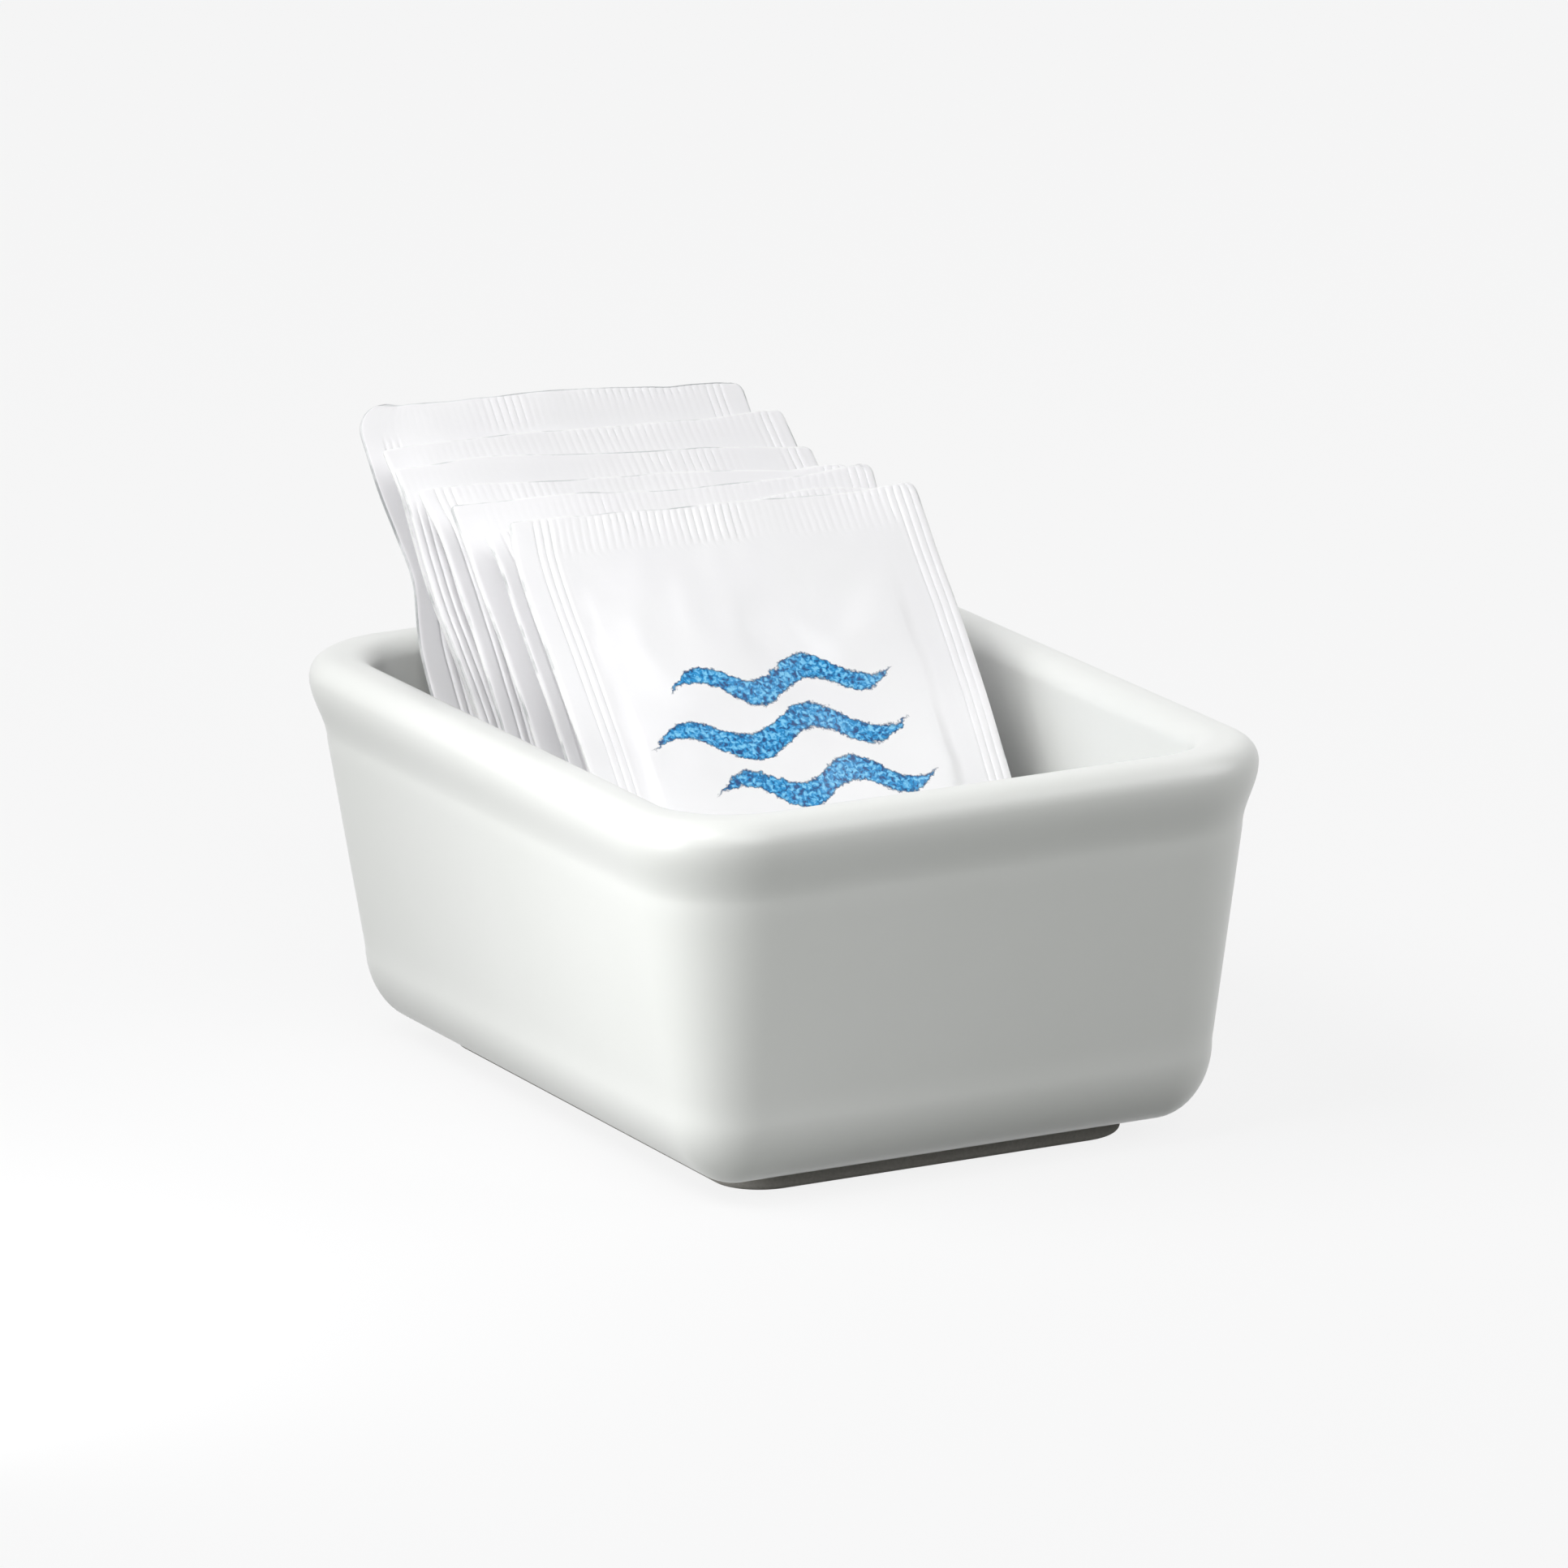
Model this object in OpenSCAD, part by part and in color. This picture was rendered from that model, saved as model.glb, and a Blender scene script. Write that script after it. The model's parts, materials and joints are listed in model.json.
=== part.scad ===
/* [Dish] */
// Width of the dish over its rim
rim_w = 77; // [72:0.5:86]
// Length of the dish over its rim
rim_l = 104; // [100:0.5:124]
// Height of the dish from the table to the top of the rim
dish_h = 45.6; // [42:0.1:54]
// Radius of the rim's corners, seen from above
corner_r = 12.9; // [12.6:0.1:16]

/* [Rim] */
// Width of the rounding on the rim's outer side
bead_w = 3; // [2:0.1:3.6]
// Height of the rounding on the rim's outer side
bead_h = 2.7; // [2:0.1:3.6]
// Width of the level top of the rim
crown_w = 0.8; // [0.4:0.1:1.6]
// Width of the rounding on the rim's inner side
lip_w = 2.9; // [2:0.1:3.4]
// Height of the rounding on the rim's inner side
lip_h = 2.4; // [1.6:0.1:3.4]
// Depth below the top at which the wall begins to flare out
neck_d = 10; // [8:0.1:13]
// Distance that the rim stands out past the neck
flare_w = 1.9; // [1:0.1:2.2]

/* [Wall and floor] */
// Distance that the outside leans in from the neck to the rounded bottom edge
draft_w = 3.65; // [2.4:0.05:3.95]
// Width of the rounded bottom edge
edge_w = 7; // [5:0.1:7.2]
// Height of the rounded bottom edge
edge_h = 9; // [6:0.1:10]
// Distance that the inside leans in from the rim to the floor
cavity_draft_w = 3.1; // [2:0.1:3.4]
// Radius of the inside's corners at the rim, seen from above
cavity_corner_r = 8.2; // [7.8:0.1:9]
// Radius of the fillet between the floor and the wall
cove_r = 4; // [2.5:0.1:4.2]
// Thickness of the floor
floor_t = 3.6; // [3:0.1:5]

/* [Foot] */
// Distance from the rim's outer edge in to the foot ring
foot_inset = 13.6; // [12.8:0.1:15]
// Height that the foot ring lifts the dish
foot_h = 2.2; // [1.6:0.1:3]
// Width of the foot ring
foot_w = 3.8; // [3:0.1:5]
// Radius of the foot ring's outer corners, seen from above
foot_corner_r = 6; // [5.2:0.1:8]
// Radius of the rounding along the foot ring's outer edge
foot_edge_r = 0.7; // [0.4:0.1:1]

/* [Packets] */
// Width of a packet
packet_w = 49.5; // [46:0.5:51]
// Height of a packet
packet_h = 70.5; // [64:0.5:76]
// Greatest thickness of a filled packet
packet_t = 5.2; // [4.2:0.1:5.6]
// Width of the crimped seal on each side
side_seal_w = 5; // [3.5:0.1:6]
// Height of the crimped seal along the top and the bottom
end_seal_h = 4.8; // [3.5:0.1:6]
// Thickness of one web of coated paper
web_t = 0.15; // [0.1:0.01:0.25]
// Radius of a packet's corners
packet_corner_r = 2.5; // [1:0.1:4]
// Distance that the filled sides draw in
draw_in_w = 0.6; // [0:0.1:1.2]
// Distance that the top of the rear packet curls back over the rim
curl_w = 4.5; // [0:0.1:6]

/* [Row] */
// Angle between the packets and the vertical
lean = 37.5; // [34:0.5:40]
// Clearance between a packet and its neighbour
packet_gap = 0.35; // [0.3:0.05:1]
// Clearance between a packet and the dish
seat_gap = 0.3; // [0.3:0.05:0.6]
// Clearance between the sugar and the webs
fill_gap = 0.06; // [0.04:0.01:0.1]

/* [Hidden] */

// Segments of a quarter round in a section, of the flare, and of a full turn
ARC_STEPS = 10;
FLARE_STEPS = 12;
$fn = 96;

// Levels, widths and rooms that follow from the sizes above
rim_t = bead_w + crown_w + lip_w;
floor_z = foot_h + floor_t;
neck_z = dish_h - neck_d;
overrun = foot_h;
cavity_w = rim_w - 2 * rim_t;
cavity_l = rim_l - 2 * rim_t;
floor_half_w = cavity_w / 2 - cavity_draft_w;
side_room = max(0, floor_half_w - packet_w / 2);
room_turn = asin(side_room / packet_h);
pouch_half_w = packet_w / 2 - side_seal_w;
pouch_h = packet_h - 2 * end_seal_h;

// Powers that shape the crown of a filled packet
SIDE_CROWN = 2.2;
SIDE_ROUND = 0.8;
SETTLE = 0.8;
END_ROUND = 0.75;

// Grid lines across and up a packet, as shares of the pouch inside its seals
across_shares = [-1, -0.8, -0.45, 0, 0.45, 0.8, 1];
upward_shares = [0, 0.1, 0.28, 0.5, 0.72, 0.9, 1];
across = concat([-packet_w / 2], [for (s = across_shares) s * pouch_half_w], [packet_w / 2]);
upward = concat([0], [for (s = upward_shares) end_seal_h + s * pouch_h], [packet_h]);
last_i = len(across) - 1;
last_j = len(upward) - 1;

// How each packet of the row stands, from the rear to the front: its shift as a share of the room beside
// it, its lift as a share of its height, and its turn in its own plane as a share of the turn that moves
// its top by that room
side_shares = [0, -0.33, -0.85, -0.86, -0.78, -0.78, -0.76];
lift_shares = [0.104, 0.04, 0.007, 0.007, 0.007, 0, 0.01];
turn_shares = [0.87, 0.93, 1.3, 1.3, 1.1, 1.05, 1.1];
packet_count = len(side_shares);

// Height along the rear packet at which it begins to curl
curl_start_share = 0.68;
curl_z = packet_h * curl_start_share;

// Grid lines from a packet's edge to its sugar
sugar_line = 2;

// Step along the floor from one packet to the next, and the rear packet's place
pitch = (packet_t + packet_gap) / cos(lean);
lip_y = cavity_l / 2 + lip_w;
lip_z = dish_h - lip_h;
lip_reach = norm([lip_w * cos(lean), lip_h * sin(lean)]);
rest_t = packet_t / 2 + seat_gap;
row_y = lip_y - (lip_z - floor_z) * tan(lean) - (lip_reach + rest_t) / cos(lean);

// A quarter of an ellipse about [x, z], from angle a0 to a1
function arc(x, z, rx, rz, a0, a1) =
    [for (i = [0:ARC_STEPS]) let (a = a0 + (a1 - a0) * i / ARC_STEPS) [x + rx * cos(a), z + rz * sin(a)]];

// A soft step from 0 to 1
function ease(t) = t * t * (3 - 2 * t);

// Section of the outside: each point is [inset from the rim's outer edge, height]
function outside_section() = concat(
    [[corner_r, foot_h]],
    arc(flare_w + draft_w + edge_w, foot_h + edge_h, edge_w, edge_h, 270, 180),
    [for (i = [0:FLARE_STEPS]) let (t = i / FLARE_STEPS)
        [flare_w * (1 - ease(t)), neck_z + (neck_d - bead_h) * t]],
    [for (p = arc(bead_w, dish_h - bead_h, bead_w, bead_h, 180, 90)) if (p[1] > dish_h - bead_h) p],
    [[corner_r, dish_h]]);

// Section of the inside: each point is [inset from the inner edge of the rim, height]
function cavity_section() = concat(
    [[cavity_corner_r, floor_z]],
    arc(cavity_draft_w + cove_r, floor_z + cove_r, cove_r, cove_r, 270, 180),
    arc(-lip_w, lip_z, lip_w, lip_h, 0, 90),
    [[-lip_w, dish_h + overrun], [cavity_corner_r, dish_h + overrun]]);

// Section of the foot ring's outside
function foot_section() = concat(
    [[foot_corner_r, 0]],
    arc(foot_edge_r, foot_edge_r, foot_edge_r, foot_edge_r, 270, 180),
    [[0, floor_z - floor_t / 2], [foot_corner_r, floor_z - floor_t / 2]]);

// A section swept round a rectangle w by l whose corners have the radius r
module swept(w, l, r, section) {
    profile = [for (p = section) [r - p[0], p[1]]];
    low = min([for (p = section) p[1]]);
    high = max([for (p = section) p[1]]);
    cx = w / 2 - r;
    cy = l / 2 - r;
    quarters = [[cx, cy, 2 * cy], [-cx, cy, 2 * cx], [-cx, -cy, 2 * cy], [cx, -cy, 2 * cx]];
    for (k = [0:3])
        translate([quarters[k][0], quarters[k][1], 0])
            rotate([0, 0, 90 * k]) {
                rotate_extrude(angle = 90) polygon(profile);
                rotate([90, 0, 0]) linear_extrude(height = quarters[k][2]) polygon(profile);
            }
    translate([-cx, -cy, low]) cube([2 * cx, 2 * cy, high - low]);
}

// The fired dish: body, rolled rim and recessed foot ring in one piece
module dish() {
    color("whitesmoke")
    difference() {
        union() {
            swept(rim_w, rim_l, corner_r, outside_section());
            swept(rim_w - 2 * foot_inset, rim_l - 2 * foot_inset, foot_corner_r, foot_section());
        }
        swept(cavity_w, cavity_l, cavity_corner_r, cavity_section());
        foot_recess();
    }
}

// The shallow recess inside the foot ring
module foot_recess() {
    inner_r = foot_corner_r - foot_w;
    recess_w = rim_w - 2 * (foot_inset + foot_w);
    recess_l = rim_l - 2 * (foot_inset + foot_w);
    translate([0, 0, -overrun])
        linear_extrude(height = foot_h + overrun) round_rect(recess_w, recess_l, inner_r);
}

// A rectangle w by l with corners of the radius r
module round_rect(w, l, r) {
    square([w, l - 2 * r], center = true);
    square([w - 2 * r, l], center = true);
    for (x = [-1, 1], y = [-1, 1])
        translate([x * (w / 2 - r), y * (l / 2 - r)]) circle(r = r);
}

// Half thickness of the pouch's hollow at x across and z up a packet
function pouch(x, z) = let (
    sx = min(1, abs(x) / pouch_half_w),
    sz = max(0, min(1, (z - end_seal_h) / pouch_h)))
    (packet_t / 2 - web_t) * pow(1 - pow(sx, SIDE_CROWN), SIDE_ROUND)
        * pow(max(0, sin(180 * pow(sz, SETTLE))), END_ROUND);

// Distance that packet n is bent back at z up the packet: only the rear one curls
function curl(n, z) = n == 1 ? curl_w * pow(max(0, (z - curl_z) / (packet_h - curl_z)), 2) : 0;

// A point of packet n's grid, at line i across and line j up, h in front of its middle plane
function grid_point(n, i, j, h) = let (
    x = across[i],
    z = upward[j],
    corner = (i == 0 || i == last_i) && (j == 0 || j == last_j),
    cut = corner ? packet_corner_r * (1 - cos(45)) : 0,
    drawn = draw_in_w * 2 * x / packet_w * sin(180 * z / packet_h))
    [x - sign(x) * cut - drawn, curl(n, z) - h, z + (j == 0 ? cut : -cut)];

// Two triangles of a cell, both wound alike, whose corners are a, b, c and d
function cell(a, b, c, d, flip) = flip ? [[a, b, c], [a, c, d]] : [[a, b, d], [b, c, d]];

// A closed sheet over grid lines i0 to i1 and j0 to j1, between the heights front(i, j) and back(i, j)
module sheet(n, i0, i1, j0, j1, front, back) {
    columns = i1 - i0 + 1;
    rows = j1 - j0 + 1;
    count = columns * rows;
    points = concat(
        [for (j = [j0:j1], i = [i0:i1]) grid_point(n, i, j, front(across[i], upward[j]))],
        [for (j = [j0:j1], i = [i0:i1]) grid_point(n, i, j, back(across[i], upward[j]))]);
    skins = [for (j = [0:rows - 2], i = [0:columns - 2])
        let (a = j * columns + i, b = a + 1, c = b + columns, d = a + columns,
            flip = (2 * (i + i0) < last_i) != (2 * (j + j0) < last_j))
        for (t = cell(a, b, c, d, flip)) [[t[2], t[1], t[0]], [t[0] + count, t[1] + count, t[2] + count]]];
    rim = concat(
        [for (i = [0:columns - 2]) i],
        [for (j = [0:rows - 2]) j * columns + columns - 1],
        [for (i = [columns - 1:-1:1]) (rows - 1) * columns + i],
        [for (j = [rows - 1:-1:1]) j * columns]);
    walls = [for (k = [0:len(rim) - 1]) let (a = rim[k], b = rim[(k + 1) % len(rim)])
        [[a, b, b + count], [a, b + count, a + count]]];
    polyhedron(points, [for (pair = concat(skins, walls)) each pair], convexity = 4);
}

// Height above the floor of the fillet or the wall, at x from the middle of the dish
function inside_rise(x) = let (run = max(0, abs(x) - floor_half_w + cove_r))
    run < cove_r ? cove_r - sqrt(pow(cove_r, 2) - pow(run, 2))
        : cove_r + (run - cove_r) * (lip_z - floor_z - cove_r) / cavity_draft_w;

// Climb, in its own plane, of a packet that stands on the floor, the fillet or the wall with a lower corner
function seat_climb(side, turn) = let (
    reach = packet_w / 2 * cos(turn) + seat_gap,
    drop = packet_w / 2 * sin(turn))
    max(drop + (seat_gap + inside_rise(side + reach)) / cos(lean),
        (seat_gap + inside_rise(side - reach)) / cos(lean) - drop);

// Places packet n in the row, where it leans back in its own plane
module in_row(n) {
    turn = turn_shares[n - 1] * room_turn;
    side = side_shares[n - 1] * side_room;
    climb = seat_climb(side, turn) + lift_shares[n - 1] * packet_h;
    translate([side, row_y - (n - 1) * pitch, floor_z])
        rotate([-lean, 0, 0])
            translate([0, 0, climb])
                rotate([0, turn, 0]) children();
}

// The front web of packet n
module front_web(n) {
    color("white")
    in_row(n) sheet(n, 0, last_i, 0, last_j,
        function(x, z) pouch(x, z) + web_t, function(x, z) pouch(x, z));
}

// The back web of packet n
module back_web(n) {
    color("ghostwhite")
    in_row(n) sheet(n, 0, last_i, 0, last_j,
        function(x, z) -pouch(x, z), function(x, z) -pouch(x, z) - web_t);
}

// The sugar in packet n, which stops short of the seals
module sugar(n) {
    color("snow")
    in_row(n) sheet(n, sugar_line, last_i - sugar_line, sugar_line, last_j - sugar_line,
        function(x, z) pouch(x, z) - fill_gap, function(x, z) fill_gap - pouch(x, z));
}

dish();
for (n = [1:packet_count]) {
    front_web(n);
    back_web(n);
    sugar(n);
}
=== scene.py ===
"""Looks of a porcelain sugar packet holder and of the paper sachets that lean back in it.

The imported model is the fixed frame, in metres. Its origin lies under the middle of the dish at table level,
with +Y to the rear and +Z up. Each class holds the sizes of one sub-assembly, builds its meshes and dresses
them, and main() builds them in order.
"""

import enum
import json
import logging
import math
from dataclasses import dataclass
from typing import Any, Iterable, Sequence

import bpy
import numpy as np
from mathutils import Matrix, Vector


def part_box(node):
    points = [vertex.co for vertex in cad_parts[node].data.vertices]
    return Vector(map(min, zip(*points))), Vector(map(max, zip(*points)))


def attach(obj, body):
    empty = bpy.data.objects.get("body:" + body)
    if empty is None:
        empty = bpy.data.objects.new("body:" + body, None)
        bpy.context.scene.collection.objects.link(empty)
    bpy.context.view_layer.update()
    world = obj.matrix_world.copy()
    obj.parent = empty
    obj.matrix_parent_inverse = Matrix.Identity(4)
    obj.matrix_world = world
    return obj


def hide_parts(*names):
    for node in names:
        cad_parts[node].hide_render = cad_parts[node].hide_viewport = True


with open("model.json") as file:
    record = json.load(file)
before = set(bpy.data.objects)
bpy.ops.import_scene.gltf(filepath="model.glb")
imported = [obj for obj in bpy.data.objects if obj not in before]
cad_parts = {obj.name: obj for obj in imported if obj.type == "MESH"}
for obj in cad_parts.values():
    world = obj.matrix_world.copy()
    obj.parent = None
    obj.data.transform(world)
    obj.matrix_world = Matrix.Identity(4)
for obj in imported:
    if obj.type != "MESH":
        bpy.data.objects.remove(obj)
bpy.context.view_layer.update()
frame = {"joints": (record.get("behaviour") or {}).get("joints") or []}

log = logging.getLogger("sugar_packet_holder")

MM = 0.001

# Edges bent by more than this stay sharp.
SHARP_DEG = 50.0

# The map of a sachet's own plane, from which its print is laid out, and the length of its unit in metres.
PLANE_MAP = "sachet_plane"
PLANE_UNIT = 0.1

# Random patterns that are set aside for each sachet.
PATTERNS_EACH = 100

Points = np.ndarray
Colour = tuple[float, float, float, float]
Tree = bpy.types.NodeTree
Socket = bpy.types.NodeSocket

# Insets from the rim's outline and heights, along a section of the dish.
Section = list[tuple[float, float]]

# Places along a line and the values there, in millimetres.
Run = tuple[tuple[float, float], ...]

# The name of each result of a formula, with its operation and its terms.
Sums = dict[str, tuple[Any, ...]]


class Slot(enum.Enum):
    """Material slots of the record."""

    PORCELAIN = "glazed_porcelain"
    PLAIN_PAPER = "coated_paper"
    PRINTED_PAPER = "printed_paper"
    SUGAR = "sugar_fill"


class Face(enum.Enum):
    """The two webs of a sachet, with the sign of their way out from its middle plane."""

    FRONT = -1
    BACK = 1


class Pattern(enum.IntEnum):
    """Numbers that keep a sachet's random patterns apart; a face has four of its own."""

    SWAY = 1
    WAVE = 2
    PRESS = 3
    RIB_SWAY = 4
    NOTCHES = 5
    CRINKLE = 6
    FRONT_FACE = 10
    BACK_FACE = 20
    GRAINS = 40


# Numbers and noise


def linear(hex_colour: str) -> Colour:
    """Turns an sRGB colour into a linear one.

    Args:
        hex_colour: The colour as "#rrggbb".

    Returns:
        Linear red, green and blue, and an alpha of 1.
    """
    parts = [int(hex_colour[i:i + 2], 16) / 255 for i in (1, 3, 5)]
    toned = [c / 12.92 if c <= 0.04045 else ((c + 0.055) / 1.055) ** 2.4 for c in parts]
    return (*toned, 1.0)


def smooth(t: np.ndarray | float) -> np.ndarray | float:
    """A soft step from 0 to 1, held outside that range."""
    t = np.clip(t, 0.0, 1.0)
    return t * t * (3 - 2 * t)


def past(values: np.ndarray, whole: float, share: float) -> np.ndarray:
    """How far values have come from a share of a length, where it is 0, to the whole, where it is 1."""
    return np.clip((values - whole * share) / (whole * (1 - share)), 0.0, 1.0)


def follow(run: Run, at: np.ndarray, blur: float = 2.5, reads: int = 9) -> np.ndarray:
    """Reads a run of points as a smooth line.

    Args:
        run: Places along it and values there, in millimetres.
        at: The places to read, in metres.
        blur: Reach over which its bends are rounded, in millimetres.
        reads: Readings over that reach, whose mean is taken.

    Returns:
        The values, in metres.
    """
    places, values = zip(*run)
    shifts = np.linspace(-blur, blur, reads)
    return np.mean([np.interp(at / MM + shift, places, values) for shift in shifts], 0) * MM


@dataclass(frozen=True)
class SoftNoise:
    """Smooth random heights over a plane, the same on every run.

    Attributes:
        seed: Picks the heights.
        spacing: Distance between the random heights, in metres.
        table_size: Number of random heights each way before they repeat.
    """

    seed: int
    spacing: float
    table_size: int = 64

    def at(self, u: np.ndarray, v: np.ndarray) -> np.ndarray:
        """Reads the heights.

        Args:
            u: First coordinates, in metres.
            v: Second coordinates, in metres.

        Returns:
            Heights from -1 to 1.
        """
        table = np.random.default_rng(self.seed).uniform(-1, 1, (self.table_size, self.table_size))
        grid_u = u / self.spacing + self.table_size / 2
        grid_v = v / self.spacing + self.table_size / 2
        i, j = np.floor(grid_u).astype(int), np.floor(grid_v).astype(int)
        s, t = smooth(grid_u - i), smooth(grid_v - j)
        i, j = i % self.table_size, j % self.table_size
        i2, j2 = (i + 1) % self.table_size, (j + 1) % self.table_size
        low = table[i, j] * (1 - s) + table[i2, j] * s
        high = table[i, j2] * (1 - s) + table[i2, j2] * s
        return low * (1 - t) + high * t

    def crests(self, u: np.ndarray, v: np.ndarray) -> np.ndarray:
        """Heights from -1 to 1 that rise to sharp crests, as creased paper does."""
        return 1 - 2 * np.abs(self.at(u, v))


# Scene and node helpers


def add_object(name: str, data: bpy.types.ID) -> bpy.types.Object:
    """Makes an object and links it to the scene.

    Args:
        name: The object's name.
        data: Its mesh, lamp or camera.

    Returns:
        The object.
    """
    made = bpy.data.objects.new(name, data)
    bpy.context.scene.collection.objects.link(made)
    return made


def add_mesh(
    name: str,
    points: Points,
    faces: Sequence[Sequence[int]],
    materials: Sequence[bpy.types.Material],
    face_slots: Sequence[int] | None = None,
) -> bpy.types.Object:
    """Makes a smooth-shaded mesh object.

    Args:
        name: The object's name.
        points: Vertices, one row each, in metres.
        faces: Vertex numbers of each face.
        materials: Its material slots.
        face_slots: The slot of each face, or None where all take the first.

    Returns:
        The object, linked to the scene.
    """
    mesh = bpy.data.meshes.new(name)
    mesh.from_pydata(points.tolist(), [], faces)
    for material in materials:
        mesh.materials.append(material)
    if face_slots is not None:
        mesh.polygons.foreach_set("material_index", np.asarray(face_slots, np.int32))
    mesh.polygons.foreach_set("use_smooth", np.ones(len(mesh.polygons), bool))
    mesh.update()
    mesh.set_sharp_from_angle(angle=math.radians(SHARP_DEG))
    return add_object(name, mesh)


def add_node(
    tree: Tree,
    kind: str,
    settings: dict[str, Any] | None = None,
    values: dict[str | int, Any] | None = None,
    links: dict[str | int, Socket] | None = None,
) -> bpy.types.Node:
    """Adds a node with its settings and links.

    Args:
        tree: The node tree that gets the node.
        kind: The node's type name.
        settings: Properties of the node itself.
        values: Constant values, by the name or number of the input.
        links: Output sockets of other nodes, by the name or number of the input that takes each.

    Returns:
        The new node.
    """
    node = tree.nodes.new(kind)
    for name, value in (settings or {}).items():
        setattr(node, name, value)
    for socket, value in (values or {}).items():
        node.inputs[socket].default_value = value
    for socket, source in (links or {}).items():
        tree.links.new(source, node.inputs[socket])
    return node


def work_out(tree: Tree, known: dict[str, Socket], sums: Sums) -> Socket:
    """Adds a formula to a node tree, as a chain of sums.

    Args:
        tree: The node tree.
        known: What the formula starts from, by name.
        sums: The name of each result, with its operation and its terms: numbers, or names from before it.

    Returns:
        The last result.
    """
    found = dict(known)
    for name, (operation, *terms) in sums.items():
        values = {place: term for place, term in enumerate(terms) if not isinstance(term, str)}
        links = {place: found[term] for place, term in enumerate(terms) if isinstance(term, str)}
        found[name] = add_node(tree, "ShaderNodeMath", {"operation": operation}, values, links).outputs[0]
    return list(found.values())[-1]


def new_material(name: str) -> tuple[bpy.types.Material, Tree]:
    """Makes a material whose node tree is empty.

    Args:
        name: The material's name.

    Returns:
        The material and its node tree.
    """
    material = bpy.data.materials.new(name)
    material.use_nodes = True
    material.node_tree.nodes.clear()
    return material, material.node_tree


def surface(
    tree: Tree,
    colour: Socket,
    shader_values: dict[str, float],
    relief: Socket | None = None,
    relief_height: float = 0.0,
    sunk: bool = False,
) -> None:
    """Joins a colour and a fine relief through the shader to a material's output.

    Args:
        tree: The material's node tree.
        colour: The surface's colour.
        shader_values: Constant values of the shader, by the name of the input.
        relief: Heights of the relief from 0 to 1, or None for a plain surface.
        relief_height: Its full height, in metres.
        sunk: Whether the relief goes down in place of up.
    """
    links = {"Base Color": colour}
    if relief is not None:
        bump = add_node(
            tree, "ShaderNodeBump", {"invert": sunk}, {"Strength": 1.0, "Distance": relief_height},
            {"Height": relief},
        )
        links["Normal"] = bump.outputs["Normal"]
    shader = add_node(tree, "ShaderNodeBsdfPrincipled", values=shader_values, links=links)
    add_node(tree, "ShaderNodeOutputMaterial", links={"Surface": shader.outputs[0]})


# Finishes of the dish


@dataclass(frozen=True)
class GlazedPorcelain:
    """Hard white porcelain under a clear fired glaze, pressed in a mould and dipped.

    The glaze gives a soft gloss with broad highlights, a faint orange peel and a slightly grey-green white
    where it lies thick.
    """

    body_hex: str = "#f1f2f0"
    pooled_hex: str = "#eaece8"
    roughness: float = 0.3
    ior: float = 1.5
    coat_weight: float = 0.04
    coat_roughness: float = 0.14
    peel_mm: float = 1.6
    peel_height_mm: float = 0.006
    cloud_mm: float = 30.0

    def build(self) -> bpy.types.Material:
        """Builds the material.

        Returns:
            The material.
        """
        material, tree = new_material("glazed_porcelain")
        place = add_node(tree, "ShaderNodeTexCoord").outputs["Object"]
        clouds = add_node(
            tree, "ShaderNodeTexNoise", values={"Scale": 1 / (self.cloud_mm * MM), "Detail": 3.0},
            links={"Vector": place},
        )
        tint = add_node(
            tree, "ShaderNodeMix", {"data_type": "RGBA"},
            {"A": linear(self.body_hex), "B": linear(self.pooled_hex)}, {"Factor": clouds.outputs["Fac"]},
        )
        peel = add_node(
            tree, "ShaderNodeTexNoise", values={"Scale": 1 / (self.peel_mm * MM), "Detail": 1.0},
            links={"Vector": place},
        )
        gloss = {
            "Roughness": self.roughness, "IOR": self.ior, "Coat Weight": self.coat_weight,
            "Coat Roughness": self.coat_roughness,
        }
        surface(tree, tint.outputs["Result"], gloss, peel.outputs["Fac"], self.peel_height_mm * MM)
        return material


@dataclass(frozen=True)
class ShadedBisqueFoot:
    """Unglazed porcelain of the foot ring, wiped clean of glaze before firing.

    It is matt, a little warmer than the glaze, and has the fine grain of the fired body. Its grey is painted
    shade: it is darker than bare porcelain to stand in for the contact shadow under the dish. The grain is
    drawn coarser than the real one, which is too fine to show.
    """

    # The foot's colours are darker than bare porcelain as painted shade for the contact shadow; the grain
    # mixes them.
    body_hex: str = "#c4c1bb"
    dark_grain_and_shade_hex: str = "#a19e98"
    roughness: float = 0.85
    grain_mm: float = 0.35
    grain_height_mm: float = 0.02

    def build(self) -> bpy.types.Material:
        """Builds the material.

        Returns:
            The material.
        """
        material, tree = new_material("bisque_foot_painted_shade")
        place = add_node(tree, "ShaderNodeTexCoord").outputs["Object"]
        grain = add_node(
            tree, "ShaderNodeTexNoise", values={"Scale": 1 / (self.grain_mm * MM), "Detail": 4.0},
            links={"Vector": place},
        ).outputs["Fac"]
        # Painted shade: the grain mixes two darkened colours that stand in for the foot's contact shadow.
        tint = add_node(
            tree, "ShaderNodeMix", {"data_type": "RGBA"},
            {"A": linear(self.body_hex), "B": linear(self.dark_grain_and_shade_hex)}, {"Factor": grain},
        )
        surface(
            tree, tint.outputs["Result"], {"Roughness": self.roughness}, grain, self.grain_height_mm * MM
        )
        return material


# Finishes of the sachets


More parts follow.
